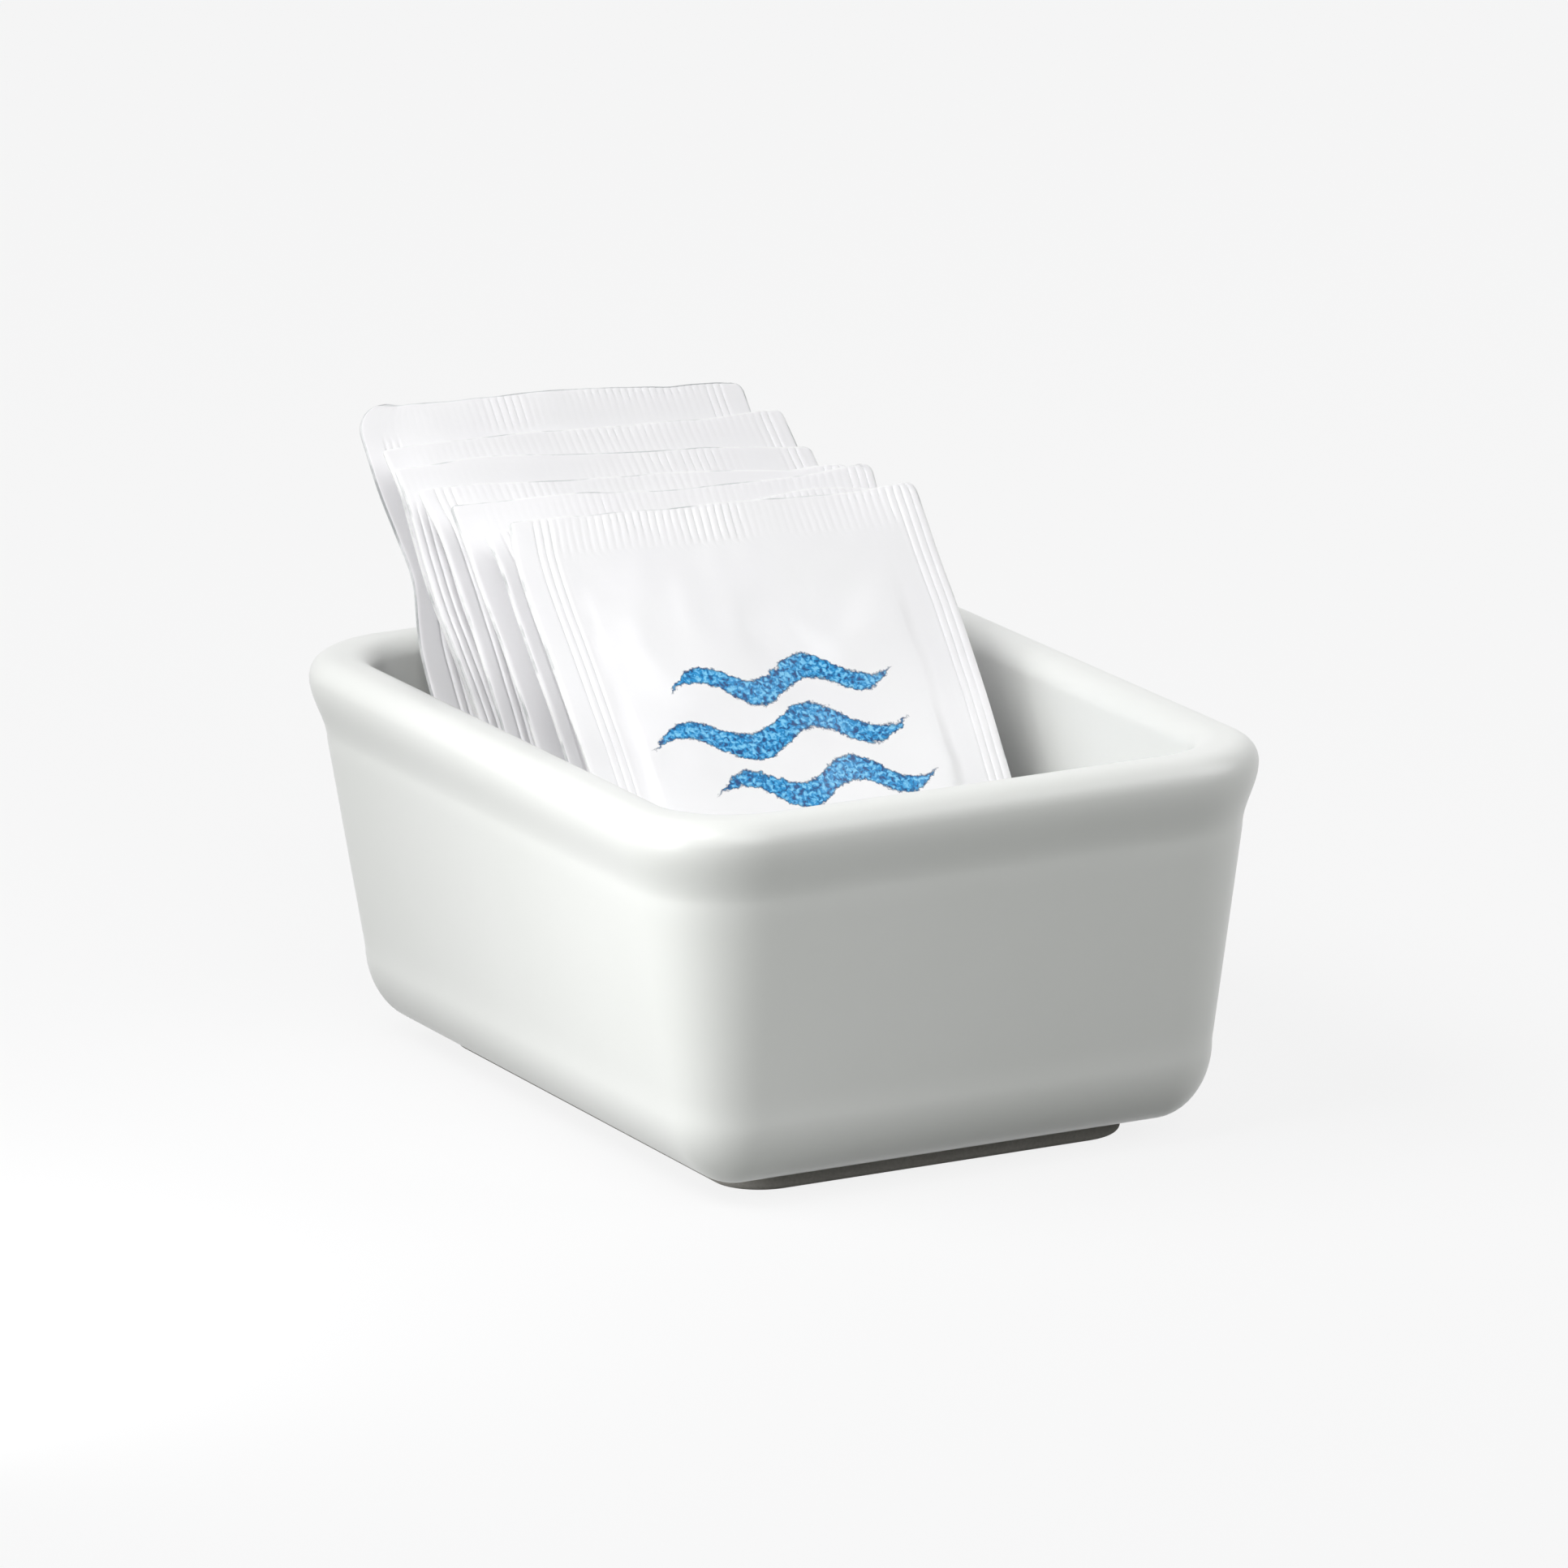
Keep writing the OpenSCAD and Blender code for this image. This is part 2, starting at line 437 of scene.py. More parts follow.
@dataclass(frozen=True)
class BrushWave:
    """One brushed wave of the print, in millimetres in the sachet's plane from its bottom centre.

    Attributes:
        x: Place across of its middle.
        z: Height of its middle.
        length: Its length.
        thickness: Its thickness in the middle.
        swing: Height of its crests over its middle line.
        period: Distance from crest to crest.
        tilt_deg: Rise of its middle line.
        taper: How late it thins out towards its tips.
    """

    x: float
    z: float
    length: float
    thickness: float
    swing: float
    period: float
    tilt_deg: float = 3.0
    taper: float = 3.0

    def inside(self) -> Sums:
        """Writes down the wave's shape.

        Returns:
            Sums from a place's x and z to how far it lies inside the wave, which is below 0 outside it.
        """
        return {
            "run": ("SUBTRACT", "x", self.x),
            "turns": ("MULTIPLY", "run", 2 * math.pi / self.period),
            "sine": ("SINE", "turns"),
            "swing": ("MULTIPLY", "sine", self.swing),
            "rise": ("MULTIPLY", "run", math.tan(math.radians(self.tilt_deg))),
            "line": ("ADD", "swing", "rise"),
            "middle": ("ADD", "line", self.z),
            "over": ("SUBTRACT", "z", "middle"),
            "off": ("ABSOLUTE", "over"),
            "share": ("DIVIDE", "run", self.length / 2),
            "reach": ("ABSOLUTE", "share"),
            "thinned": ("POWER", "reach", self.taper),
            "full": ("SUBTRACT", 1.0, "thinned"),
            "half": ("MULTIPLY", "full", self.thickness / 2),
            "inside": ("SUBTRACT", "half", "off"),
        }


@dataclass(frozen=True)
class Diamond:
    """One small brushed diamond of the print, in millimetres in the sachet's plane."""

    x: float
    z: float
    half_w: float = 2.0
    half_h: float = 2.7

    def inside(self) -> Sums:
        """Writes down the diamond's shape.

        Returns:
            Sums from a place's x and z to how far it lies inside the diamond, which is below 0 outside it.
        """
        return {
            "over_x": ("SUBTRACT", "x", self.x),
            "off_x": ("ABSOLUTE", "over_x"),
            "over_z": ("SUBTRACT", "z", self.z),
            "off_z": ("ABSOLUTE", "over_z"),
            "share_x": ("DIVIDE", "off_x", self.half_w),
            "share_z": ("DIVIDE", "off_z", self.half_h),
            "share": ("ADD", "share_x", "share_z"),
            "inside": ("SUBTRACT", 1.0, "share"),
        }


@dataclass(frozen=True)
class CoatedPaper:
    """White bleached paper with a thin glossy film on its face, as sachets are formed from.

    The film gives a soft sheen with wide highlights. The paper's fibres show as a very fine grain, drawn
    coarser than the real one, which is too fine to show. The ink, where there is any, is a mottled blue with
    darker, ragged brush edges, and it lies under the film.
    """

    name: str
    printed: bool
    paper_hex: str = "#fdfdfd"
    shade_hex: str = "#faf9fc"
    roughness: float = 0.3
    fibre_mm: float = 0.7
    fibre_height_mm: float = 0.012
    shade_mm: float = 16.0
    ink_tones: tuple[tuple[float, str], ...] = ((0.36, "#00427e"), (0.5, "#1094d6"), (0.64, "#84d2f8"))
    ink_line_hex: str = "#052f58"
    ink_line_mm: float = 0.36
    ink_edge_mm: float = 0.12
    ink_grain_mm: float = 0.55
    ragged_mm: float = 1.0
    ragged_reach_mm: float = 1.5
    motifs: tuple[BrushWave | Diamond, ...] = (
        BrushWave(x=0.5, z=48.6, length=27.0, thickness=3.3, swing=1.5, period=13.5),
        BrushWave(x=-1.5, z=42.0, length=31.0, thickness=3.5, swing=1.6, period=15.5),
        BrushWave(x=2.0, z=35.4, length=27.0, thickness=3.3, swing=1.5, period=13.5),
        Diamond(-6.0, 27.6),
        Diamond(1.0, 27.9),
        Diamond(8.0, 28.2),
    )

    def build(self) -> bpy.types.Material:
        """Builds the material.

        Returns:
            The material.
        """
        material, tree = new_material(self.name)
        plane = add_node(tree, "ShaderNodeUVMap", {"uv_map": PLANE_MAP}).outputs["UV"]
        shades = add_node(
            tree, "ShaderNodeTexNoise",
            values={"Scale": PLANE_UNIT / (self.shade_mm * MM), "Detail": 2.0}, links={"Vector": plane},
        )
        paper = add_node(
            tree, "ShaderNodeMix", {"data_type": "RGBA"},
            {"A": linear(self.paper_hex), "B": linear(self.shade_hex)}, {"Factor": shades.outputs["Fac"]},
        ).outputs["Result"]
        fibres = add_node(
            tree, "ShaderNodeTexNoise",
            values={"Scale": PLANE_UNIT / (self.fibre_mm * MM), "Detail": 3.0}, links={"Vector": plane},
        )
        surface(
            tree, self._inked(tree, plane, paper) if self.printed else paper, {"Roughness": self.roughness},
            fibres.outputs["Fac"], self.fibre_height_mm * MM,
        )
        return material

    def _inked(self, tree: Tree, plane: Socket, paper: Socket) -> Socket:
        """Lays the print over the paper's colour.

        Args:
            tree: The material's node tree.
            plane: Coordinates in the sachet's plane.
            paper: The bare paper's colour.

        Returns:
            The printed paper's colour.
        """
        inside = self._inside(tree, plane)
        cover = add_node(
            tree, "ShaderNodeMapRange",
            values={"From Min": -self.ink_edge_mm, "From Max": self.ink_edge_mm}, links={"Value": inside},
        )
        grain = add_node(
            tree, "ShaderNodeTexNoise",
            values={"Scale": PLANE_UNIT / (self.ink_grain_mm * MM), "Detail": 2.0, "Distortion": 0.6},
            links={"Vector": plane},
        )
        body = add_node(tree, "ShaderNodeValToRGB", links={"Fac": grain.outputs["Fac"]})
        tones = body.color_ramp.elements
        for tone, (share, tone_hex) in zip((tones[0], tones.new(0.5), tones[-1]), self.ink_tones):
            tone.position, tone.color = share, linear(tone_hex)
        depth = add_node(
            tree, "ShaderNodeMapRange", values={"From Max": self.ink_line_mm}, links={"Value": inside},
        )
        ink = add_node(
            tree, "ShaderNodeMix", {"data_type": "RGBA"}, {"A": linear(self.ink_line_hex)},
            {"Factor": depth.outputs["Result"], "B": body.outputs["Color"]},
        )
        return add_node(
            tree, "ShaderNodeMix", {"data_type": "RGBA"},
            links={"Factor": cover.outputs["Result"], "A": paper, "B": ink.outputs["Result"]},
        ).outputs["Result"]

    def _inside(self, tree: Tree, plane: Socket) -> Socket:
        """How far a place lies inside the print, with ragged edges.

        Args:
            tree: The material's node tree.
            plane: Coordinates in the sachet's plane.

        Returns:
            Distances in millimetres, above 0 on the print and below 0 off it.
        """
        wobble = add_node(
            tree, "ShaderNodeTexNoise",
            values={"Scale": PLANE_UNIT / (self.ragged_mm * MM), "Detail": 3.0, "Roughness": 0.7},
            links={"Vector": plane},
        )
        spread = add_node(
            tree, "ShaderNodeVectorMath", {"operation": "MULTIPLY_ADD"},
            {1: (self.ragged_reach_mm,) * 3, 2: (-self.ragged_reach_mm / 2,) * 3},
            {0: wobble.outputs["Color"]},
        )
        in_mm = add_node(
            tree, "ShaderNodeVectorMath", {"operation": "MULTIPLY_ADD"}, {1: (PLANE_UNIT / MM,) * 3},
            {0: plane, 2: spread.outputs[0]},
        )
        place = add_node(tree, "ShaderNodeSeparateXYZ", links={0: in_mm.outputs[0]}).outputs
        places = {"x": place["X"], "z": place["Y"]}
        first, *others = [work_out(tree, places, motif.inside()) for motif in self.motifs]
        for other in others:
            first = work_out(tree, {"a": first, "b": other}, {"most": ("MAXIMUM", "a", "b")})
        return first


@dataclass(frozen=True)
class CutPaperEdge:
    """The cut edge of two webs of coated paper, where the raw fibres show.

    It is matt and white, with soft grey patches of painted shade, so a sachet's outline reads as a thin
    broken dark line, as its shaded edges and the gaps between the sachets do.
    """

    name: str
    edge_hex: str = "#ffffff"
    # The grey is painted shade along the outline, laid in patches.
    outline_shade_hex: str = "#d3d5d6"
    outline_shade_from: float = 0.5
    outline_shade_full: float = 0.66
    roughness: float = 0.8
    shade_patch_mm: float = 6.0

    def build(self) -> bpy.types.Material:
        """Builds the material.

        Returns:
            The material.
        """
        material, tree = new_material(self.name)
        place = add_node(tree, "ShaderNodeTexCoord").outputs["Object"]
        shade_patches = add_node(
            tree, "ShaderNodeTexNoise", values={"Scale": 1 / (self.shade_patch_mm * MM), "Detail": 4.0},
            links={"Vector": place},
        )
        # Painted shade: patches of the noise turn the edge grey.
        outline_shade = add_node(
            tree, "ShaderNodeMapRange", values={"From Min": self.outline_shade_from, "From Max": self.outline_shade_full},
            links={"Value": shade_patches.outputs["Fac"]},
        )
        tint = add_node(
            tree, "ShaderNodeMix", {"data_type": "RGBA"},
            {"A": linear(self.edge_hex), "B": linear(self.outline_shade_hex)}, {"Factor": outline_shade.outputs["Result"]},
        )
        surface(tree, tint.outputs["Result"], {"Roughness": self.roughness})
        return material


@dataclass(frozen=True)
class GranulatedSugar:
    """Loose white sugar crystals about half a millimetre across, which sparkle where they face the light."""

    crystal_hex: str = "#f7f6f2"
    shade_hex: str = "#dddcd6"
    roughness: float = 0.3
    crystal_mm: float = 0.55
    crystal_height_mm: float = 0.15

    def build(self) -> bpy.types.Material:
        """Builds the material.

        Returns:
            The material.
        """
        material, tree = new_material("granulated_sugar")
        place = add_node(tree, "ShaderNodeTexCoord").outputs["Object"]
        away = add_node(
            tree, "ShaderNodeTexVoronoi", {"feature": "F1"}, {"Scale": 1 / (self.crystal_mm * MM)},
            {"Vector": place},
        ).outputs["Distance"]
        tint = add_node(
            tree, "ShaderNodeMix", {"data_type": "RGBA"},
            {"A": linear(self.crystal_hex), "B": linear(self.shade_hex)}, {"Factor": away},
        )
        surface(
            tree, tint.outputs["Result"], {"Roughness": self.roughness}, away,
            self.crystal_height_mm * MM, sunk=True,
        )
        return material


# The dish


@dataclass(frozen=True)
class Ring:
    """A rounded rectangle level with the table, one line of the dish's surface."""

    half_w: float
    half_l: float
    corner_r: float
    z: float
    # Unglazed rings take the foot's darker colour, which is painted shade.
    unglazed: bool = False


def quarter(centre: tuple[float, float], rx: float, rz: float, start: int, end: int, steps: int) -> Section:
    """Points of a quarter of an ellipse.

    Args:
        centre: The centre's inset and height.
        rx: Radius along the inset.
        rz: Radius along the height.
        start: First angle, in degrees.
        end: Last angle, in degrees.
        steps: Number of steps.

    Returns:
        Pairs of inset and height.
    """
    x, z = centre
    angles = np.radians(np.linspace(start, end, steps + 1))
    return [(x + rx * math.cos(a), z + rz * math.sin(a)) for a in angles]


def line(first: tuple[float, float], last: tuple[float, float], steps: int) -> Section:
    """Points between two points of a section, without the first and with the last."""
    shares = np.linspace(0, 1, steps + 1)[1:]
    return [tuple(a + (b - a) * s for a, b in zip(first, last)) for s in shares]


@dataclass(frozen=True)
class Dish:
    """The porcelain dish: a fired body with a rolled rim, a rounded bottom edge and a recessed foot ring.

    All sizes are in metres. Those down to foot_edge_r repeat the solid's.

    Attributes:
        rim_w: Width over the rim.
        rim_l: Length over the rim.
        height: Height of the rim's top.
        corner_r: Radius of the rim's corners.
        bead_w: Width of the rim's outer rounding.
        bead_h: Height of that rounding.
        crown_w: Width of the rim's flat top.
        lip_w: Width of the rim's inner rounding.
        lip_h: Height of that rounding.
        neck_d: Depth below the top at which the wall begins to flare out.
        flare_w: Distance that the rim stands out past the neck.
        draft_w: Distance that the outside leans in from the neck to the bottom edge.
        edge_w: Width of the rounded bottom edge.
        edge_h: Height of that edge.
        cavity_draft_w: Distance that the inside wall leans in.
        cavity_corner_r: Radius of the hollow's corners at the rim.
        cove_r: Radius between the floor and the inside wall.
        floor_t: Thickness of the floor.
        foot_inset: Distance of the foot ring from the rim's outline.
        foot_h: Height of the foot ring.
        foot_w: Width of the foot ring.
        foot_corner_r: Radius of its outer corners.
        foot_edge_r: Radius of its lower edges.
        foot_fillet_r: Radius between the foot ring and the underside.
        recess_steps: How far in from the foot ring the rings of the underside's middle lie.
        floor_steps: How far in from the wall's foot the rings of the inside floor lie.
        flat_corner_r: Corner radius of those rings.
        least_corner_r: Least corner radius of the foot ring's inner side.
        wave_mm: Width of the slight waves that firing leaves, in millimetres.
        wave_height: Their height.
        arc_steps: Steps round a quarter of a section's rounding.
        wall_steps: Steps up a wall.
        face_steps: Steps across the foot ring's resting face.
        corner_steps: Steps round a corner of the outline.
        side_steps: Steps along a long and a short side of the outline.
        seed: Picks the waves.
    """

    rim_w: float = 77 * MM
    rim_l: float = 104 * MM
    height: float = 45.6 * MM
    corner_r: float = 12.9 * MM
    bead_w: float = 3 * MM
    bead_h: float = 2.7 * MM
    crown_w: float = 0.8 * MM
    lip_w: float = 2.9 * MM
    lip_h: float = 2.4 * MM
    neck_d: float = 10 * MM
    flare_w: float = 1.9 * MM
    draft_w: float = 3.65 * MM
    edge_w: float = 7 * MM
    edge_h: float = 9 * MM
    cavity_draft_w: float = 3.1 * MM
    cavity_corner_r: float = 8.2 * MM
    cove_r: float = 4 * MM
    floor_t: float = 3.6 * MM
    foot_inset: float = 13.6 * MM
    foot_h: float = 2.2 * MM
    foot_w: float = 3.8 * MM
    foot_corner_r: float = 6 * MM
    foot_edge_r: float = 0.7 * MM
    foot_fillet_r: float = 0.8 * MM
    recess_steps: tuple[float, ...] = (12 * MM, 6 * MM, 2 * MM)
    floor_steps: tuple[float, ...] = (3 * MM, 8 * MM, 14 * MM)
    flat_corner_r: float = 1 * MM
    least_corner_r: float = 0.4 * MM
    wave_mm: float = 22.0
    wave_height: float = 0.05 * MM
    arc_steps: int = 14
    wall_steps: int = 12
    face_steps: int = 4
    corner_steps: int = 20
    side_steps: tuple[int, int] = (26, 18)
    seed: int = 5

    @property
    def rim_t(self) -> float:
        """Thickness of the rim, from its outer edge to its hollow."""
        return self.bead_w + self.crown_w + self.lip_w

    @property
    def floor_z(self) -> float:
        """Height of the inside floor."""
        return self.foot_h + self.floor_t

    def _ring(self, inset: float, z: float, corner_r: float, unglazed: bool = False) -> Ring:
        """A ring that lies inset from the rim's outer edge."""
        return Ring(self.rim_w / 2 - inset, self.rim_l / 2 - inset, corner_r, z, unglazed)

    def _recess(self) -> list[Ring]:
        """Works out the glazed recess inside the foot ring.

        Returns:
            Its rings, from its middle out.
        """
        edge, r, fillet = self.foot_inset + self.foot_w, self.foot_edge_r, self.foot_fillet_r
        inner_r, steps = self.foot_corner_r - self.foot_w, self.arc_steps // 2
        middle = [self._ring(edge + fillet + d, self.foot_h, self.flat_corner_r) for d in self.recess_steps]
        arc = quarter((edge + fillet, self.foot_h - fillet), fillet, fillet, 90, 180, steps)
        lip = quarter((edge - r, r), r, r, 0, -90, steps)
        return middle + [
            self._ring(inset, z, max(inner_r + edge - inset, self.least_corner_r)) for inset, z in arc + lip
        ]

    def _foot(self) -> list[Ring]:
        """Works out the foot ring's resting face and outer side, wiped of glaze and darkened as painted
        shade.

        Returns:
            Their rings, from the recess out and up.
        """
        r, fillet, steps = self.foot_edge_r, self.foot_fillet_r, self.arc_steps // 2
        first, last = self.foot_inset + self.foot_w - r, self.foot_inset + r
        face = line((first, 0.0), (last, 0.0), self.face_steps)
        edge = quarter((last, r), r, r, 270, 180, steps)[1:]
        blend = quarter((self.foot_inset - fillet, self.foot_h - fillet), fillet, fillet, 0, 90, steps)
        # The unglazed faces run up the outer side, so the foot's darker colour paints shade there.
        wiped = len(face) + len(edge) + len(blend) // 2
        return [
            self._ring(inset, z, self.foot_corner_r + self.foot_inset - inset, number < wiped)
            for number, (inset, z) in enumerate(face + edge + blend)
        ]

    def _outside(self) -> list[Ring]:
        """Works out the rounded bottom edge, the drafted wall, the flare and the rim's outer rounding.

        Returns:
            Their rings, from the underside up.
        """
        neck_z, bead_z = self.height - self.neck_d, self.height - self.bead_h
        foot = (self.flare_w + self.draft_w + self.edge_w, self.foot_h + self.edge_h)
        edge = quarter(foot, self.edge_w, self.edge_h, 270, 180, self.arc_steps)
        wall = line(edge[-1], (self.flare_w, neck_z), self.wall_steps)
        flare = [
            (self.flare_w * (1 - float(smooth(share))), neck_z + (bead_z - neck_z) * share)
            for share in np.linspace(0, 1, self.wall_steps + 1)[1:]
        ]
        bead = quarter((self.bead_w, bead_z), self.bead_w, self.bead_h, 180, 90, self.arc_steps)[1:]
        return [self._ring(inset, z, self.corner_r - inset) for inset, z in edge + wall + flare + bead]

    def _inside(self) -> list[Ring]:
        """Works out the rim's inner rounding, the inside wall, the cove and the floor.

        Returns:
            Their rings, from the rim down and in.
        """
        r = self.cove_r
        reach = self.cavity_draft_w + r
        lip = quarter((-self.lip_w, self.height - self.lip_h), self.lip_w, self.lip_h, 90, 0, self.arc_steps)
        cove = quarter((reach, self.floor_z + r), r, r, 180, 270, self.arc_steps)
        wall = line(lip[-1], cove[0], self.wall_steps)
        section = lip + wall + cove[1:]
        rings = [self._ring(self.rim_t + inset, z, self.cavity_corner_r - inset) for inset, z in section]
        return rings + [
            self._ring(self.rim_t + reach + d, self.floor_z, self.flat_corner_r) for d in self.floor_steps
        ]

    def _outline(self, ring: Ring) -> Points:
        """Points along a ring, with the same count for every ring.

        Args:
            ring: The ring.

        Returns:
            Its points, anticlockwise seen from above.
        """
        cx, cy = ring.half_w - ring.corner_r, ring.half_l - ring.corner_r
        corners = [(cx, cy), (-cx, cy), (-cx, -cy), (cx, -cy)]
        rows = []
        for number, (x, y) in enumerate(corners):
            angles = math.pi / 2 * (number + np.linspace(0, 1, self.corner_steps + 1))
            arc = np.stack([x + ring.corner_r * np.cos(angles), y + ring.corner_r * np.sin(angles)], 1)
            after, way = corners[(number + 1) % 4], angles[-1]
            end = np.array(after) + ring.corner_r * np.array([math.cos(way), math.sin(way)])
            shares = np.linspace(0, 1, self.side_steps[(number + 1) % 2] + 1)[1:-1, None]
            rows += [arc, arc[-1] + (end - arc[-1]) * shares]
        flat = np.concatenate(rows)
        return np.column_stack([flat, np.full(len(flat), ring.z)])

    def build(self, porcelain: bpy.types.Material, bisque: bpy.types.Material) -> bpy.types.Object:
        """Builds and dresses the dish, from the middle of its underside out, up and in to its floor's middle.

        Args:
            porcelain: The glaze's material.
            bisque: The unglazed foot's material, darkened as painted shade.

        Returns:
            The dish.
        """
        rings = [*self._recess(), *self._foot(), *self._outside(), *self._inside()]
        outlines = [self._outline(ring) for ring in rings]
        count = len(outlines[0])
        faces, slots = [tuple(reversed(range(count)))], [0]
        for number, (ring, above) in enumerate(zip(rings, rings[1:])):
            low, high = number * count, (number + 1) * count
            for k in range(count):
                after = (k + 1) % count
                faces.append((low + k, low + after, high + after, high + k))
                slots.append(int(ring.unglazed and above.unglazed))
        last = (len(rings) - 1) * count
        faces.append(tuple(range(last, last + count)))
        slots.append(0)
        dish = add_mesh("dish_body", np.concatenate(outlines), faces, [porcelain, bisque], slots)
        self._soften(dish)
        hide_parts("dish")
        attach(dish, "dish")
        return dish

    def _soften(self, dish: bpy.types.Object) -> None:
        """Gives the glazed surface the slight waves that firing leaves, and keeps the foot's face flat.

        Args:
            dish: The dish.
        """
        mesh = dish.data
        places, normals = (np.empty(len(mesh.vertices) * 3) for _ in range(2))
        mesh.vertices.foreach_get("co", places)
        mesh.vertices.foreach_get("normal", normals)
        places, normals = places.reshape(-1, 3), normals.reshape(-1, 3)
        x, y, z = places.T
        planes = ((x, y), (x, z), (y, z))
        waves = sum(SoftNoise(self.seed + k, self.wave_mm * MM).at(*plane) for k, plane in enumerate(planes))
        waves *= smooth((z - self.foot_h) / self.foot_h) * self.wave_height / len(planes)
        places += normals * waves[:, None]
        mesh.vertices.foreach_set("co", places.ravel())
        mesh.update()


# The sachets


@dataclass(frozen=True)
class SachetSizes:
    """Sizes that all the sachets share, in metres.

    Attributes:
        width: Width of a sachet, as in the solids.
        height: Its height, as in the solids.
        thickness: Its greatest thickness, as in the solids.
        side_seal: Width of its side seals, as in the solids.
        end_seal: Width of its end seals, as in the solids.
        solid_web: Thickness of a web in the solids.
        web: Thickness of a web here, which is nearer to the real paper's.
        side_crown: How full its pouch stays towards the sides.
        side_round: How steeply its pouch ends at the sides.
        settle: How far the sugar has settled towards the bottom.
        end_round: How steeply its pouch ends at the bottom and top.
        seal_ease: Distance over which its pouch starts from a side seal.
    """

    width: float = 49.5 * MM
    height: float = 70.5 * MM
    thickness: float = 5.2 * MM
    side_seal: float = 5 * MM
    end_seal: float = 4.8 * MM
    solid_web: float = 0.15 * MM
    web: float = 0.1 * MM
    side_crown: float = 2.2
    side_round: float = 0.8
    settle: float = 0.8
    end_round: float = 0.75
    seal_ease: float = 2.4 * MM

    def pouch(self, x: np.ndarray, z: np.ndarray) -> np.ndarray:
        """Half thickness of the filled hollow.

        Args:
            x: Places across, from the middle.
            z: Places up, from the bottom.

        Returns:
            Half thicknesses, which are 0 on the seals.
        """
        half_w = self.width / 2 - self.side_seal
        share_x = np.clip(np.abs(x) / half_w, 0, 1)
        share_z = np.clip((z - self.end_seal) / (self.height - 2 * self.end_seal), 0, 1)
        crown = (1 - share_x ** self.side_crown) ** self.side_round
        crown = crown * smooth((1 - share_x) * half_w / self.seal_ease)
        rise = np.clip(np.sin(np.pi * share_z ** self.settle), 0, 1) ** self.end_round
        return (self.thickness / 2 - self.solid_web) * crown * rise


@dataclass(frozen=True)
class Crimp:
    """The fine ribs that the heated jaws press into the seals, in metres.

    Attributes:
        count: Number of ribs across a sachet.
        steps: Steps of the mesh from rib to rib.
        height: Height of a rib.
        sharpness: How narrow a rib is for its pitch.
        fade: Distance over which ribs start and end.
        sway: How far a rib wanders, as an angle of its wave.
        sway_mm: Length of that wandering, in millimetres.
        side_share: Depth of the lines down the sides, as a share of a rib's.
        side_lines: Width of the strip that holds those lines.
        side_spare: Width beside that strip which is meshed as closely.
        end_margin: Plain margin over the ends of those lines.
        patch_mm: Size of the patches that are pressed more or less, in millimetres.
        patch_mean: Mean depth of a patch.
        patch_swing: Most that a patch's depth departs from it.
        patch_least: Least depth of a patch.
        patch_most: Greatest depth of a patch.
        faint: Depth of the ends' ribs before they are pressed in full.
        start_w: Distance over which they come to their full depth.
    """

    count: int = 54
    steps: int = 5
    height: float = 0.145 * MM
    sharpness: float = 1.6
    fade: float = 0.4 * MM
    sway: float = 0.5
    sway_mm: float = 1.6
    side_share: float = 1.15
    side_lines: float = 3.1 * MM
    side_spare: float = 1 * MM
    end_margin: float = 0.4 * MM
    patch_mm: float = 6.0
    patch_mean: float = 0.85
    patch_swing: float = 1.1
    patch_least: float = 0.1
    patch_most: float = 1.5
    faint: float = 0.12
    start_w: float = 9 * MM


@dataclass(frozen=True)
class Bends:
    """Where handling bends a sachet, and the small waves along its margins, in metres.

    Attributes:
        outline_from: Share of the height from which the rows rise to the top's outline.
        corner_from: Shares of the half width and of the height from which the upper right corner bends.
        curl_from: Share of the half width from which the left margin bends.
        curl_ease: How softly that bend starts.
        back_from: Share of the height from which the upper part bends back.
        side_from: Share of the half width from which the margins sway and crinkle.
        wave_from: Share of the height from which the top waves.
        flutter: Height of the sway and the waves.
        sway_mm: Length of the sway, in millimetres.
        sway_stretch: Places across, as a share, where it is read.
        wave_mm: Length of the top's waves, in millimetres.
        wave_stretch: Places up, as a share, where they are read.
        crinkle_mm: Size of the crinkles, in millimetres.
        crinkle_height: Their height.
        crinkle_reach: Height of the crinkled strip at the top, in end seals.
        notch_mm: Length of the top's torn notches, in millimetres.
        notch_height: Their depth.
        roll: How far the cut edges roll to the rear, which catches the light along them.
        roll_reach: Width of that roll.
    """

    outline_from: float = 0.7
    corner_from: tuple[float, float] = (0.45, 0.82)
    curl_from: float = 0.8
    curl_ease: float = 0.2
    back_from: float = 0.43
    side_from: float = 0.6
    wave_from: float = 0.88
    flutter: float = 0.3 * MM
    sway_mm: float = 17.0
    sway_stretch: float = 0.3
    wave_mm: float = 11.0
    wave_stretch: float = 0.2
    crinkle_mm: float = 2.6
    crinkle_height: float = 0.045 * MM
    crinkle_reach: float = 1.3
    notch_mm: float = 3.0
    notch_height: float = 0.07 * MM
    roll: float = 0.16 * MM
    roll_reach: float = 0.5 * MM


